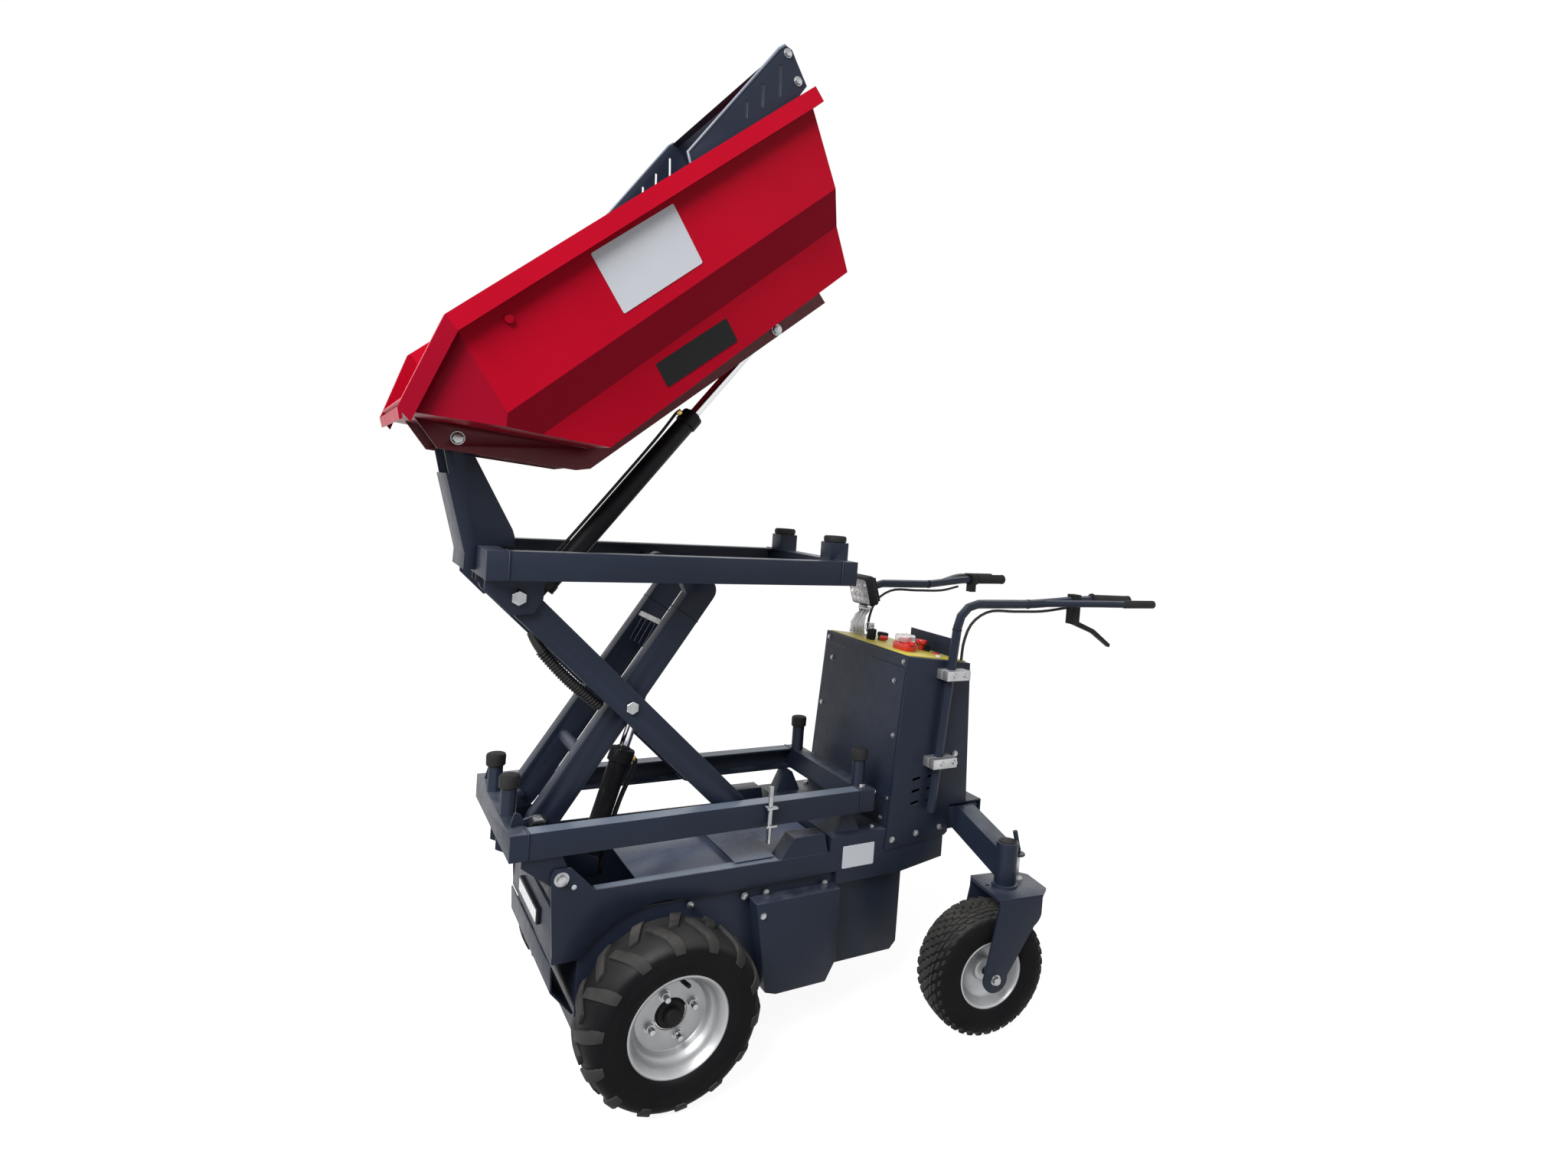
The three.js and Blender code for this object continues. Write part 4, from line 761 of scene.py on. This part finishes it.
def dressFrontRim():
    centre = at(*frontTyre["centre"])
    face = [(112, 66), (113, 70), (110, 71.5), (106, 69), (103.5, 62), (99, 57), (97, 46), (95.5, 36),
            (90, 31), (85, 24), (82, 14), (80, 12), (37, 12), (35.5, 10.5)]
    back = [(35.5, 7), (84, 7), (92, 0), (98, -20), (100, -58), (106, -66), (109, -71), (113, -71),
            (113, -67), (108, -62), (104, -40), (102, 0), (104, 40), (108, 60)]
    rim = turned(face + back, centre, (1, 0, 0), 72)
    twin = otherSide(rim)
    for piece, side in ((rim, "left"), (twin, "right")):
        settled(piece, f"front_rim_{side}_dish", "rimPaint", f"front_wheel_{side}", 40)
        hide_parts(f"front_rim_{side}")
    hub = turned([(0, -30), (34, -30), (34, 9), (30, 13), (20, 14), (18, 26), (14, 30), (0, 31)], centre,
                 (1, 0, 0), 40)
    inside, outside = centre + Vector((0.012, 0.022, 0.070)), centre + Vector((0.050, 0.024, 0.076))
    valve = cylinder(inside, outside, 5, 16, 1.5)
    blacks = joined([hub, valve])
    studs = []
    for index in range(frontRim["studs"]):
        turn = math.tau * index / frontRim["studs"] + 0.35
        spot = Vector((0, math.cos(turn), math.sin(turn))) * frontRim["studCircle"] / 1000
        foot = centre + spot
        nut = copied(boltHeads["nut"], Matrix.Translation(foot + Vector((0.0125, 0, 0)))
                     @ Matrix.Rotation(math.pi / 2, 4, "Y") @ Matrix.Scale(0.0105, 4))
        stud = cylinder(foot + Vector((0.010, 0, 0)), foot + Vector((0.038, 0, 0)), 6.5, 20, 1.5)
        studs.extend([nut, stud])
    metal = joined(studs)
    for group, name, finishName in ((blacks, "hub", "blackPlastic"), (metal, "studs", "zincSteel")):
        twin = otherSide(group)
        settled(group, f"front_{name}_left", finishName, "front_wheel_left")
        settled(twin, f"front_{name}_right", finishName, "front_wheel_right")
    print("front rims made")


casterLook = {"pivot": (395, 1207), "trail": 55, "turn": -0.15, "radius": 166, "rows": 36}


def casterPlace(side):  # from the wheel's own frame, x along its axle, to where it stands
    sign = 1 if side == "left" else -1
    x, y = casterLook["pivot"]
    pivot = Matrix.Translation(at(sign * x, y, casterLook["radius"]))
    trail = Matrix.Translation((0, -casterLook["trail"] / 1000, 0))
    return pivot @ Matrix.Rotation(sign * casterLook["turn"], 4, "Z") @ trail


def turfBlock(x, wide, radius, slant, long=12.2):
    def place(across, around):
        angle = (around * long + across * slant) / radius
        return Vector((x + across * wide, -math.cos(angle) * radius, math.sin(angle) * radius)) / 1000

    outline = [(-0.5, -1.0), (0.1, -1.0), (0.5, -0.35), (0.5, 1.0), (-0.1, 1.0), (-0.5, 0.35)]
    return outlined(outline, place, (-x * 0.00003, 0.008, 0), 0.9)


def casterTread():
    row = [turfBlock(x, 12.5, radius, slant) for x, radius, slant in
           ((-29, 164.5, 5), (0, 166, -5), (29, 164.5, 5))]
    between = [turfBlock(x, 12.5, 165.6, slant) for x, slant in ((-14.5, -5), (14.5, 5))]
    shoulder = [turfBlock(side * 43.5, 13, 161.5, side * 4, 10) for side in (1, -1)]
    lower = [turfBlock(side * 54.5, 9, 154, side * 4, 7) for side in (1, -1)]
    pitch = math.tau / casterLook["rows"]
    blocks = []
    for index in range(casterLook["rows"]):
        for group, shift in ((row, 0), (between, 0.5), (shoulder, 0.5), (lower, 0.0)):
            turn = Matrix.Rotation((index + shift) * pitch, 4, "X")
            blocks.extend(copied(piece, turn) for piece in group)
    for piece in row + between + shoulder + lower:
        bpy.data.objects.remove(piece)
    half = [(84, 52), (90, 55), (100, 61), (118, 63), (134, 62), (148, 57), (156, 49), (161.5, 28)]
    profile = half + [(r, -x) for r, x in reversed(half)]
    return turned(profile, Vector(), (1, 0, 0), 60), joined(blocks)


def dressCasterWheels():
    carcass, tread = casterTread()
    face = [(87, 52), (88, 56), (85, 57), (81, 54), (79, 46), (75, 42), (72, 30), (66, 22), (40, 14),
            (32, 14), (30, 26), (24, 30), (12, 30), (12, -30), (24, -30), (30, -26), (32, 8), (40, 8),
            (68, 16), (76, 24), (78, -44), (81, -52), (85, -57), (88, -56), (87, -52), (83, -40), (80, 0),
            (83, 40)]
    rim = turned(face, Vector(), (1, 0, 0), 60)
    for side in ("left", "right"):
        place = casterPlace(side)
        if side == "right":
            place = place @ Matrix.Rotation(math.pi, 4, "Z")
        for source, node, part, finishName in ((carcass, "tyre", "carcass", "tyreRubber"),
                                               (tread, "tyre", "tread", "treadRubber"),
                                               (rim, "rim", "dish", "rimPaint")):
            name = f"caster_{node}_{side}"
            piece = settled(copied(source, place), f"{name}_{part}", finishName, f"caster_wheel_{side}", 40)
            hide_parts(name)
        spots = [(place @ Vector((end * 0.0795, 0, 0)), place.to_3x3() @ Vector((end, 0, 0)))
                 for end in (1, -1)]
        boltSet(f"caster_axle_nuts_{side}", f"caster_{side}", "nut", 11, spots)
    for template in (carcass, tread, rim):
        bpy.data.objects.remove(template)
    print("caster wheels made")


def addCasterFittings():
    for side, sign in (("left", 1), ("right", -1)):
        x, y = sign * casterLook["pivot"][0], casterLook["pivot"][1]
        profile = [(0, 488), (24, 488), (25, 492.5), (23, 494.5), (19, 495), (0, 495)]
        cap = turned(profile, at(x, y, 0), (0, 0, 1), 36)
        settled(cap, f"swivel_cap_{side}", "blackPaint")
        px, py = x - sign * 8, y + 46
        post = cylinder(at(px, py, 384), at(px, py, 446), 7, 20, 1)
        flange = turned([(0, 446), (19, 446), (20, 448), (19, 451), (0, 452)], at(px, py, 0), (0, 0, 1), 28)
        lever = block(px - 5, px + 5, py - 6, py + 6, 451, 466, 2)
        handle = cylinder(at(px, py, 462), at(px - sign * 5, py - 12, 512), 6.5, 16, 2.5)
        foot = turned([(0, 379), (18, 379), (18, 384), (10, 388), (0, 388)], at(px, py, 0), (0, 0, 1), 28)
        arm = block(px - 5, px + 5, y + 20, py, 415, 436, 1)
        settled(joined([post, foot]), f"swivel_lock_{side}", "zincSteel")
        settled(joined([flange, lever, handle]), f"swivel_lever_{side}", "machinePaint")
        settled(arm, f"swivel_lock_lug_{side}", "machinePaint")


# screws and plates on the chassis and console

def addChassisFittings():
    boltPairs("panel_screws", "chassis", "hex", 7, [
        (222.4, y, z) for y, z in ((402, 396), (538, 393), (595, 391.5), (757.7, 387))])
    boltPairs("cover_screws", "chassis", "button", 6.5, ((262.3, 572, 354),))
    boltPairs("skirt_screws", "chassis", "hex", 7, [
        (226.3, y, z) for y, z in ((951, 472.5), (1027, 480), (1104, 487), (1139, 687))])
    boltPairs("rest_screws", "chassis", "hex", 7, ((179, 812, 502.4), (191, 909, 502.4)), (0, 0, 1))
    plate = sidePlate(rounded(((805, 474), (899, 474), (899, 416), (805, 416)), 3), 222.2, 222.9, 0)
    settled(plate, "blank_plate", "labelWhite")
    seam = [block(side * 222.1 - 0.3, side * 222.1 + 0.3, 511, 783, 400.0, 401.4, 0) for side in (1, -1)]
    settled(joined(seam), "panel_seams", "blackPaint")
    print("chassis fittings made")


# the console, its switches, vents and lamp

consoleLook = {"half": 226, "low": 446, "frontLow": 930, "rise": 34 / 515, "topFront": 961, "topY": 964,
               "slope": -24 / 204,
               "panelBolts": ((205, 944), (172, 887), (200, 746), (208, 580), (146, 579), (190, 523)),
               "vents": ((1016, 629), (1016, 596.5), (1016, 564), (1065, 633), (1065, 600), (1065, 567))}


def faceY(z):  # the console's front face at a height
    return consoleLook["frontLow"] + (z - consoleLook["low"]) * consoleLook["rise"]


def onTop(x, y, up):  # a place above the console's sloping top
    return at(x, y, consoleLook["topFront"] + (y - consoleLook["topY"]) * consoleLook["slope"] + 3.4 + up)


def knob(x, y, profile, steps=32):  # turned about a stalk that stands on the console's top
    return turned(profile, onTop(x, y, 0), (0, -consoleLook["slope"], 1), steps)


def frontSheet(corners):  # a thin sheet on the console's front face
    thick = Vector((0, 0.0014, 0))
    return outlined(rounded(corners, 5), lambda x, z: at(x, faceY(z) - 1.6, z), thick, 0.5)


def dressConsole():
    half = consoleLook["half"]
    vents = [slot(side * half - 5, side * half + 5, y, z, 27, 8, 0.18) for y, z in consoleLook["vents"]
             for side in (1, -1)]
    dressNode("console_body", "machinePaint", 1.2, cutters=[joined(vents)])
    panel = frontSheet(((-215, 456), (215, 456), (215, 926), (-215, 926)))
    flange = frontSheet(((-224, 930), (224, 930), (224, 957), (-224, 957)))
    settled(joined([panel, flange]), "console_front_panel", "machinePaint")
    boltPairs("console_panel_bolts", "chassis", "hex", 6, [
        (x, faceY(z) - 1.8, z) for x, z in consoleLook["panelBolts"]], (0, -1, consoleLook["rise"]))
    dressNode("console_top", "platePaint", 0.6)
    dressNode("console_screen", "machinePaint", 1.2)
    dressNode("stop_button", "redPlastic", 2.5, 3)
    dressNode("key_switch", "blackPlastic", 3)
    print("console made")


def dressIsolator():
    base = block(78, 140, 1004, 1047, 957, 979, 4, 3)
    handle = block(66, 152, 1020, 1031, 975, 986, 2.5, 2)
    lever = block(101, 117, 1008, 1042, 979, 992, 3, 3)
    red = settled(joined([base, handle, lever]), "isolator_base", "redPlastic")
    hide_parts("isolator")
    cover = block(84, 134, 1005, 1046, 979.4, 1001, 6, 4)
    hollow = block(86, 132, 1007, 1044, 970, 999, 5, 4)
    settled(carved(cover, hollow), "isolator_cover", "clearPlastic")
    flags = [cylinder(onTop(-60, 1051, 9), onTop(-59, 1075, 9), 7, 20, 3),
             cylinder(onTop(-59, 1063, 0), onTop(-59, 1063, 7), 4)]
    settled(joined(flags), "red_toggle", "redPlastic")
    rockers = [block(60, 84, 1116, 1132, 943, 950, 2), block(108, 133, 1116, 1132, 943, 948, 2)]
    settled(rockers[0], "grey_rocker", "blackPlastic")
    settled(rockers[1], "red_rocker", "redPlastic")
    settled(knob(188, 1085, [(0, 0), (8, 0), (8, 3), (6, 5), (0, 5.5)]), "white_button", "labelWhite")
    collar = knob(-86, 1074, [(0, 0), (13, 0), (13, 10), (17, 12), (17, 20), (14, 23), (0, 23)])
    settled(collar, "charge_socket", "blackPlastic")
    loop = [t / 8 * math.tau for t in range(9)]
    key = [cylinder(onTop(-67, 1021, 31), onTop(-67, 1021, 36), 9, 20, 1),
           block(-68.2, -65.8, 1012, 1031, 984, 1006, 1),
           curveThrough([onTop(-67 + 12 * math.cos(t), 1008 + 4 * math.sin(t), 38 + 12 * math.sin(t))
                         for t in loop], 1.1)]
    settled(joined(key), "key_and_ring", "zincSteel")
    print("isolator and switches made")


lampLook = {"centre": (-150, 1034, 1095), "lean": 0.31, "half": 58, "high": 45, "deep": 15,
            "cup": ((0, 0), (5, 0), (10.5, 6), (11.5, 6), (11.5, -0.5), (0, -0.5))}


def dressLamp():
    place = Matrix.Translation(at(*lampLook["centre"])) @ Matrix.Rotation(lampLook["lean"], 4, "X")
    half, high, deep = lampLook["half"], lampLook["high"], lampLook["deep"]

    def lampBlock(x0, x1, y0, y1, z0, z1, bevel):
        size = Matrix.Diagonal(((x1 - x0) / 1000, (y1 - y0) / 1000, (z1 - z0) / 1000, 1))
        middle = Matrix.Translation(Vector((x0 + x1, y0 + y1, z0 + z1)) / 2000)
        piece = bevelled(cube(middle @ size), bevel, 3)
        piece.data.transform(place)
        return piece

    housing = carved(lampBlock(-half, half, -deep, deep, -high, high, 8),
                     lampBlock(-half + 6, half - 6, -deep - 4, -deep + 9, -high + 6, high - 6, 5))
    fins = [lampBlock(-half + 10 + i * 12, -half + 14 + i * 12, deep - 2, deep + 7, -high + 8, high - 8, 1)
            for i in range(9)]
    body = settled(joined([housing, *fins]), "lamp_housing", "blackPaint")
    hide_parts("work_light")
    cups = []
    for row in (-1, 0, 1):
        for column in range(4):
            centre = place @ Vector(((-half + 18 + column * 26.7) / 1000, (-deep + 8) / 1000, row * 0.024))
            out = place.to_3x3() @ Vector((0, -1, 0))
            cups.append(turned(lampLook["cup"], centre, out, 20))
    settled(joined(cups), "lamp_reflectors", "rodChrome")
    pane = lampBlock(-half + 6.3, half - 6.3, -deep + 0.5, -deep + 2.4, -high + 6.3, high - 6.3, 1.5)
    settled(pane, "lamp_glass", "clearPlastic")
    strap = []
    rail = [(1040, 958.5), (1036, 985), (1044, 1010), (1060, 1030), (1070, 1038)]
    for start, end, wide, wideTop in zip(rail, rail[1:], (43, 38, 30, 24), (38, 30, 24, 22)):
        corners = [(-178 - wide, *start), (-178 + wide, *start),
                   (-172 + wideTop, *end), (-172 - wideTop, *end)]
        strap.append(outlined(corners, at, Vector((0, 0.003, 0.001)), 0.5))
    ribs = [curveThrough([at(x, y - 1, z + 1) for y, z in rail], 2.4) for x in (-194, -174, -156)]
    feet = [block(-221, -135, 1038, 1052, 956.5, 959.5, 0.8), crossBar(1058, 1036, 6, -200, -146, 20)]
    settled(joined([*strap, *ribs, *feet]), "lamp_strap", "castAluminium")
    print("lamp made")


# the handles, their clamps, grips and levers

handleLook = {"x": 246, "collars": (((1098, 1034), (0, 0.085, 1)), ((1343, 1104), (0, 1, 0))),
              "clamps": ((1056, 1133, 913, (1082.6, 1117)), (1032, 1109, 678, (1061, 1102))),
              "gripStart": (276, 1561, 1121), "gripEnd": (295, 1699, 1120), "ribs": 22}


def dressHandles():
    collars = [turned([(12.6, -2), (13.5, -2), (13.5, 2), (12.6, 2)], at(handleLook["x"], y, z), along, 32)
               for (y, z), along in handleLook["collars"]]
    settled(joined(bothSides(*collars)), "handle_collars", "blackPaint")
    clamps = [block(x0, x1, front, rear, z - 12, z + 14, 1.5) for x0, x1 in ((226.6, 252), (253.4, 277))
              for front, rear, z, _ in handleLook["clamps"]]
    settled(joined(bothSides(*clamps)), "handle_clamps", "castAluminium")
    boltPairs("clamp_bolts", "chassis", "button", 6.5, [
        (277.2, y, z + 1) for _, _, z, spots in handleLook["clamps"] for y in spots])
    start, end = at(*handleLook["gripStart"]), at(*handleLook["gripEnd"])
    length = (end - start).length * 1000
    profile = [(0, 0), (19, 0), (19.5, 4), (16.4, 6)]
    count = handleLook["ribs"]
    step = (length - 16) / count
    for index in range(count):
        low = 8 + (length - 16) * index / count
        profile += [(14.6, low), (16, low + step * 0.3), (16, low + step * 0.7), (14.6, low + step)]
    profile += [(16.6, length - 7), (16.6, length - 2), (14, length), (0, length)]
    grip = turned(profile, start, end - start, 28)
    for piece, side in zip(bothSides(grip), ("left", "right")):
        settled(piece, f"grip_{side}_ribbed", "gripRubber")
        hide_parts(f"grip_{side}")
        dressNode(f"guard_grip_{side}", "gripRubber", 3, 3)
    dressNode("brake_lever", "blackPlastic", 3, 3)
    dressNode("throttle", "blackPlastic", 2, 2)
    dressNode("brake_cable", "hoseRubber", 0)
    dressNode("throttle_cable", "hoseRubber", 0)
    print("handles made")


# hose wrap, lamp bar, plates and bolts on the frames

hoseLook = {"route": ((124, 270, 30), (134, 250, 40), (144, 216, 46.4), (144, 150, 50.4), (144, 84, 46.4),
                      (142, 46, 44.4)), "radius": 10.5, "turns": 26, "coil": 11.2, "wire": 2.0}


def dressArmHose():  # its route is given across, along the outer arm and below it
    outer = Vector((0, -256, 250)).normalized()
    below = Vector((0, outer.z, -outer.y)) * -1
    centre = armLook["centre"]
    route = [at(x, *centre) + (outer * d + below * h) / 1000 for x, d, h in hoseLook["route"]]
    core = curveThrough(route, hoseLook["radius"])
    coil = []
    steps = hoseLook["turns"] * 8
    wide = hoseLook["coil"]
    for index in range(steps + 1):
        t = index / steps
        d = 232 - 184 * t
        h = 44.4 + 5.6 * math.sin(math.pi * t)
        swing = index / 8 * math.tau
        coil.append(at(144, *centre) + (outer * d + below * (h + wide * math.cos(swing))) / 1000
                    + Vector((wide / 1000 * math.sin(swing), 0, 0)))
    wrap = curveThrough(coil, hoseLook["wire"], smooth=False, sides=2)
    piece = settled(joined([core, wrap]), "arm_hose_wrap", "hoseRubber", "outer_arms", 60)
    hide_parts("arm_hose")


def addFrameDetails():
    dressNode("lock_pin", "zincSteel", 0.8)
    sheet = block(-220.5, 220.5, 97.7, 98.5, 321, 430, 0.3)
    settled(sheet, "nose_sheet", "machinePaint")
    # painted highlights: thin pale strips on the up-facing chassis flanges and lower frame rail tops
    flangeHighlights = block(183, 221.6, 188, 626, 464, 464.5, 0.2, 1)
    settled(joined(bothSides(flangeHighlights)), "chassis_flange_highlights", "paintedHighlight")
    railHighlights = block(184, 222, 40, 846, 615, 615.4, 0.2, 1)
    settled(joined(bothSides(railHighlights)), "base_rail_highlights", "paintedHighlight", "base_frame")
    dressNode("light_bar", "blackPaint", 2, 2)
    panes = [block(x - 9.5, x + 9.5, 87.2, 89.6, 360, 388, 2) for x in range(-84, 85, 21)]
    settled(joined(panes), "light_bar_lenses", "lampLens")
    boltPairs("frame_top_bolts", "base_frame", "hex", 9, ((190, 867, 615.4),), (0, 0, 1))
    boltPairs("frame_end_bolts", "base_frame", "hex", 7, ((214, 888.4, 606),), (0, 1, 0))
    washer = crossBar(*armLook["framePivot"], 16, 222.2, 224.8, 32, 0.8)
    settled(joined(bothSides(washer)), "pivot_washers", "zincSteel")
    plug = crossBar(135.8, 484.6, 5.5, 222.1, 222.9, 16, 0.2)
    settled(joined(bothSides(plug)), "ear_plugs", "labelWhite")
    tab = sidePlate(rounded(((8, 616), (40, 616), (30, 640), (16, 648)), 6), 168, 173, 0.6)
    settled(joined(bothSides(tab)), "frame_tabs", "machinePaint", "base_frame")
    corners = rounded(((-170, 518), (200, 518), (200, 622), (-170, 640)), 4)
    cover = outlined(corners, lambda x, y: at(x, y, 468), Vector((0, 0, 0.002)), 0.5)
    settled(cover, "deck_cover", "deckSheet")
    print("frame details made")


dressFrames()
addWelds()
addBumpers()
dressSkip()
addArmFittings()
dressCylinder(liftCylinder)
dressCylinder(tipCylinder)
dressArmHose()
dressFrontTyre()
dressFrontRim()
dressCasterWheels()
addCasterFittings()
addChassisFittings()
dressConsole()
dressIsolator()
dressLamp()
dressHandles()
addFrameDetails()

# floor, lights and camera

stage = {"floorSize": 60, "floorColour": (0.24, 0.24, 0.24), "floorGlow": 0.92, "worldLight": 0.34,
         "worldSeen": 1.0, "keyPower": 450, "fillPower": 25}
cameraView = {"place": (2155.2, -371.0, 1359.7), "azimuth": 56.8, "down": 2.4, "roll": 4.3, "lens": 20.56,
              "shiftX": -0.071, "shiftY": -0.0296}


def seenNode(nodes, links):  # 1 for what the camera sees, straight or in metal or glass
    rays = nodes.new("ShaderNodeLightPath").outputs
    seen = mathNode(nodes, links, "MAXIMUM", rays["Is Camera Ray"], rays["Is Glossy Ray"])
    return mathNode(nodes, links, "MAXIMUM", seen, rays["Is Transmission Ray"])


def floorFinish():
    material, nodes, links = newMaterial("floorPaint")
    shader = nodes["Principled BSDF"]
    coords = nodes.new("ShaderNodeTexCoord").outputs["Object"]
    tone = rangeNode(nodes, links, noiseNode(nodes, links, coords, 3.0), 0.2, 0.8)
    pale = stage["floorColour"]
    links.new(mixNode(nodes, links, tone, pale, tuple(c * 0.98 for c in pale)), shader.inputs["Base Color"])
    shader.inputs["Roughness"].default_value = 0.9
    shader.inputs["Specular IOR Level"].default_value = 0.0
    shader.inputs["Emission Color"].default_value = (1, 1, 1, 1)
    glow = rangeNode(nodes, links, seenNode(nodes, links), 0.0, 1.0, 0.0, stage["floorGlow"])
    links.new(glow, shader.inputs["Emission Strength"])
    return material


def setStage():
    bpy.ops.mesh.primitive_plane_add(size=stage["floorSize"], location=(0, 0, 0))
    floor = bpy.context.object
    floor.name = "floor"
    floor.data.materials.append(floorFinish())
    world = bpy.data.worlds.new("world")
    bpy.context.scene.world = world
    world.use_nodes = True
    nodes, links = world.node_tree.nodes, world.node_tree.links
    background = nodes["Background"]
    background.inputs["Color"].default_value = (1, 1, 1, 1)
    seen = seenNode(nodes, links)
    level = rangeNode(nodes, links, seen, 0.0, 1.0, stage["worldLight"], stage["worldSeen"])
    links.new(level, background.inputs["Strength"])
    for name, place, power, size in (("key", (2.2, -3.4, 4.2), stage["keyPower"], 3.0),
                                     ("fill", (3.6, 2.6, 3.0), stage["fillPower"], 3.5)):
        bpy.ops.object.light_add(type="AREA", location=place)
        lamp = bpy.context.object
        lamp.name = name
        lamp.data.energy = power
        lamp.data.size = size
        lamp.rotation_euler = (Vector((0, 0, 1.0)) - Vector(place)).to_track_quat("-Z", "Y").to_euler()


def setCamera():
    bpy.ops.object.camera_add(location=at(*cameraView["place"]))
    camera = bpy.context.object
    turn, down = math.radians(cameraView["azimuth"]), math.radians(cameraView["down"])
    ahead = Vector((-math.sin(turn) * math.cos(down), math.cos(turn) * math.cos(down), -math.sin(down)))
    camera.rotation_mode = "QUATERNION"
    roll = Quaternion((0, 0, 1), math.radians(cameraView["roll"]))
    camera.rotation_quaternion = ahead.to_track_quat("-Z", "Y") @ roll
    camera.data.lens = cameraView["lens"]
    camera.data.shift_x = cameraView["shiftX"]
    camera.data.shift_y = cameraView["shiftY"]
    bpy.context.scene.camera = camera


setStage()
setCamera()
bpy.context.scene.view_settings.view_transform = "Standard"
for template in boltHeads.values():
    bpy.data.objects.remove(template)
print("scene done")
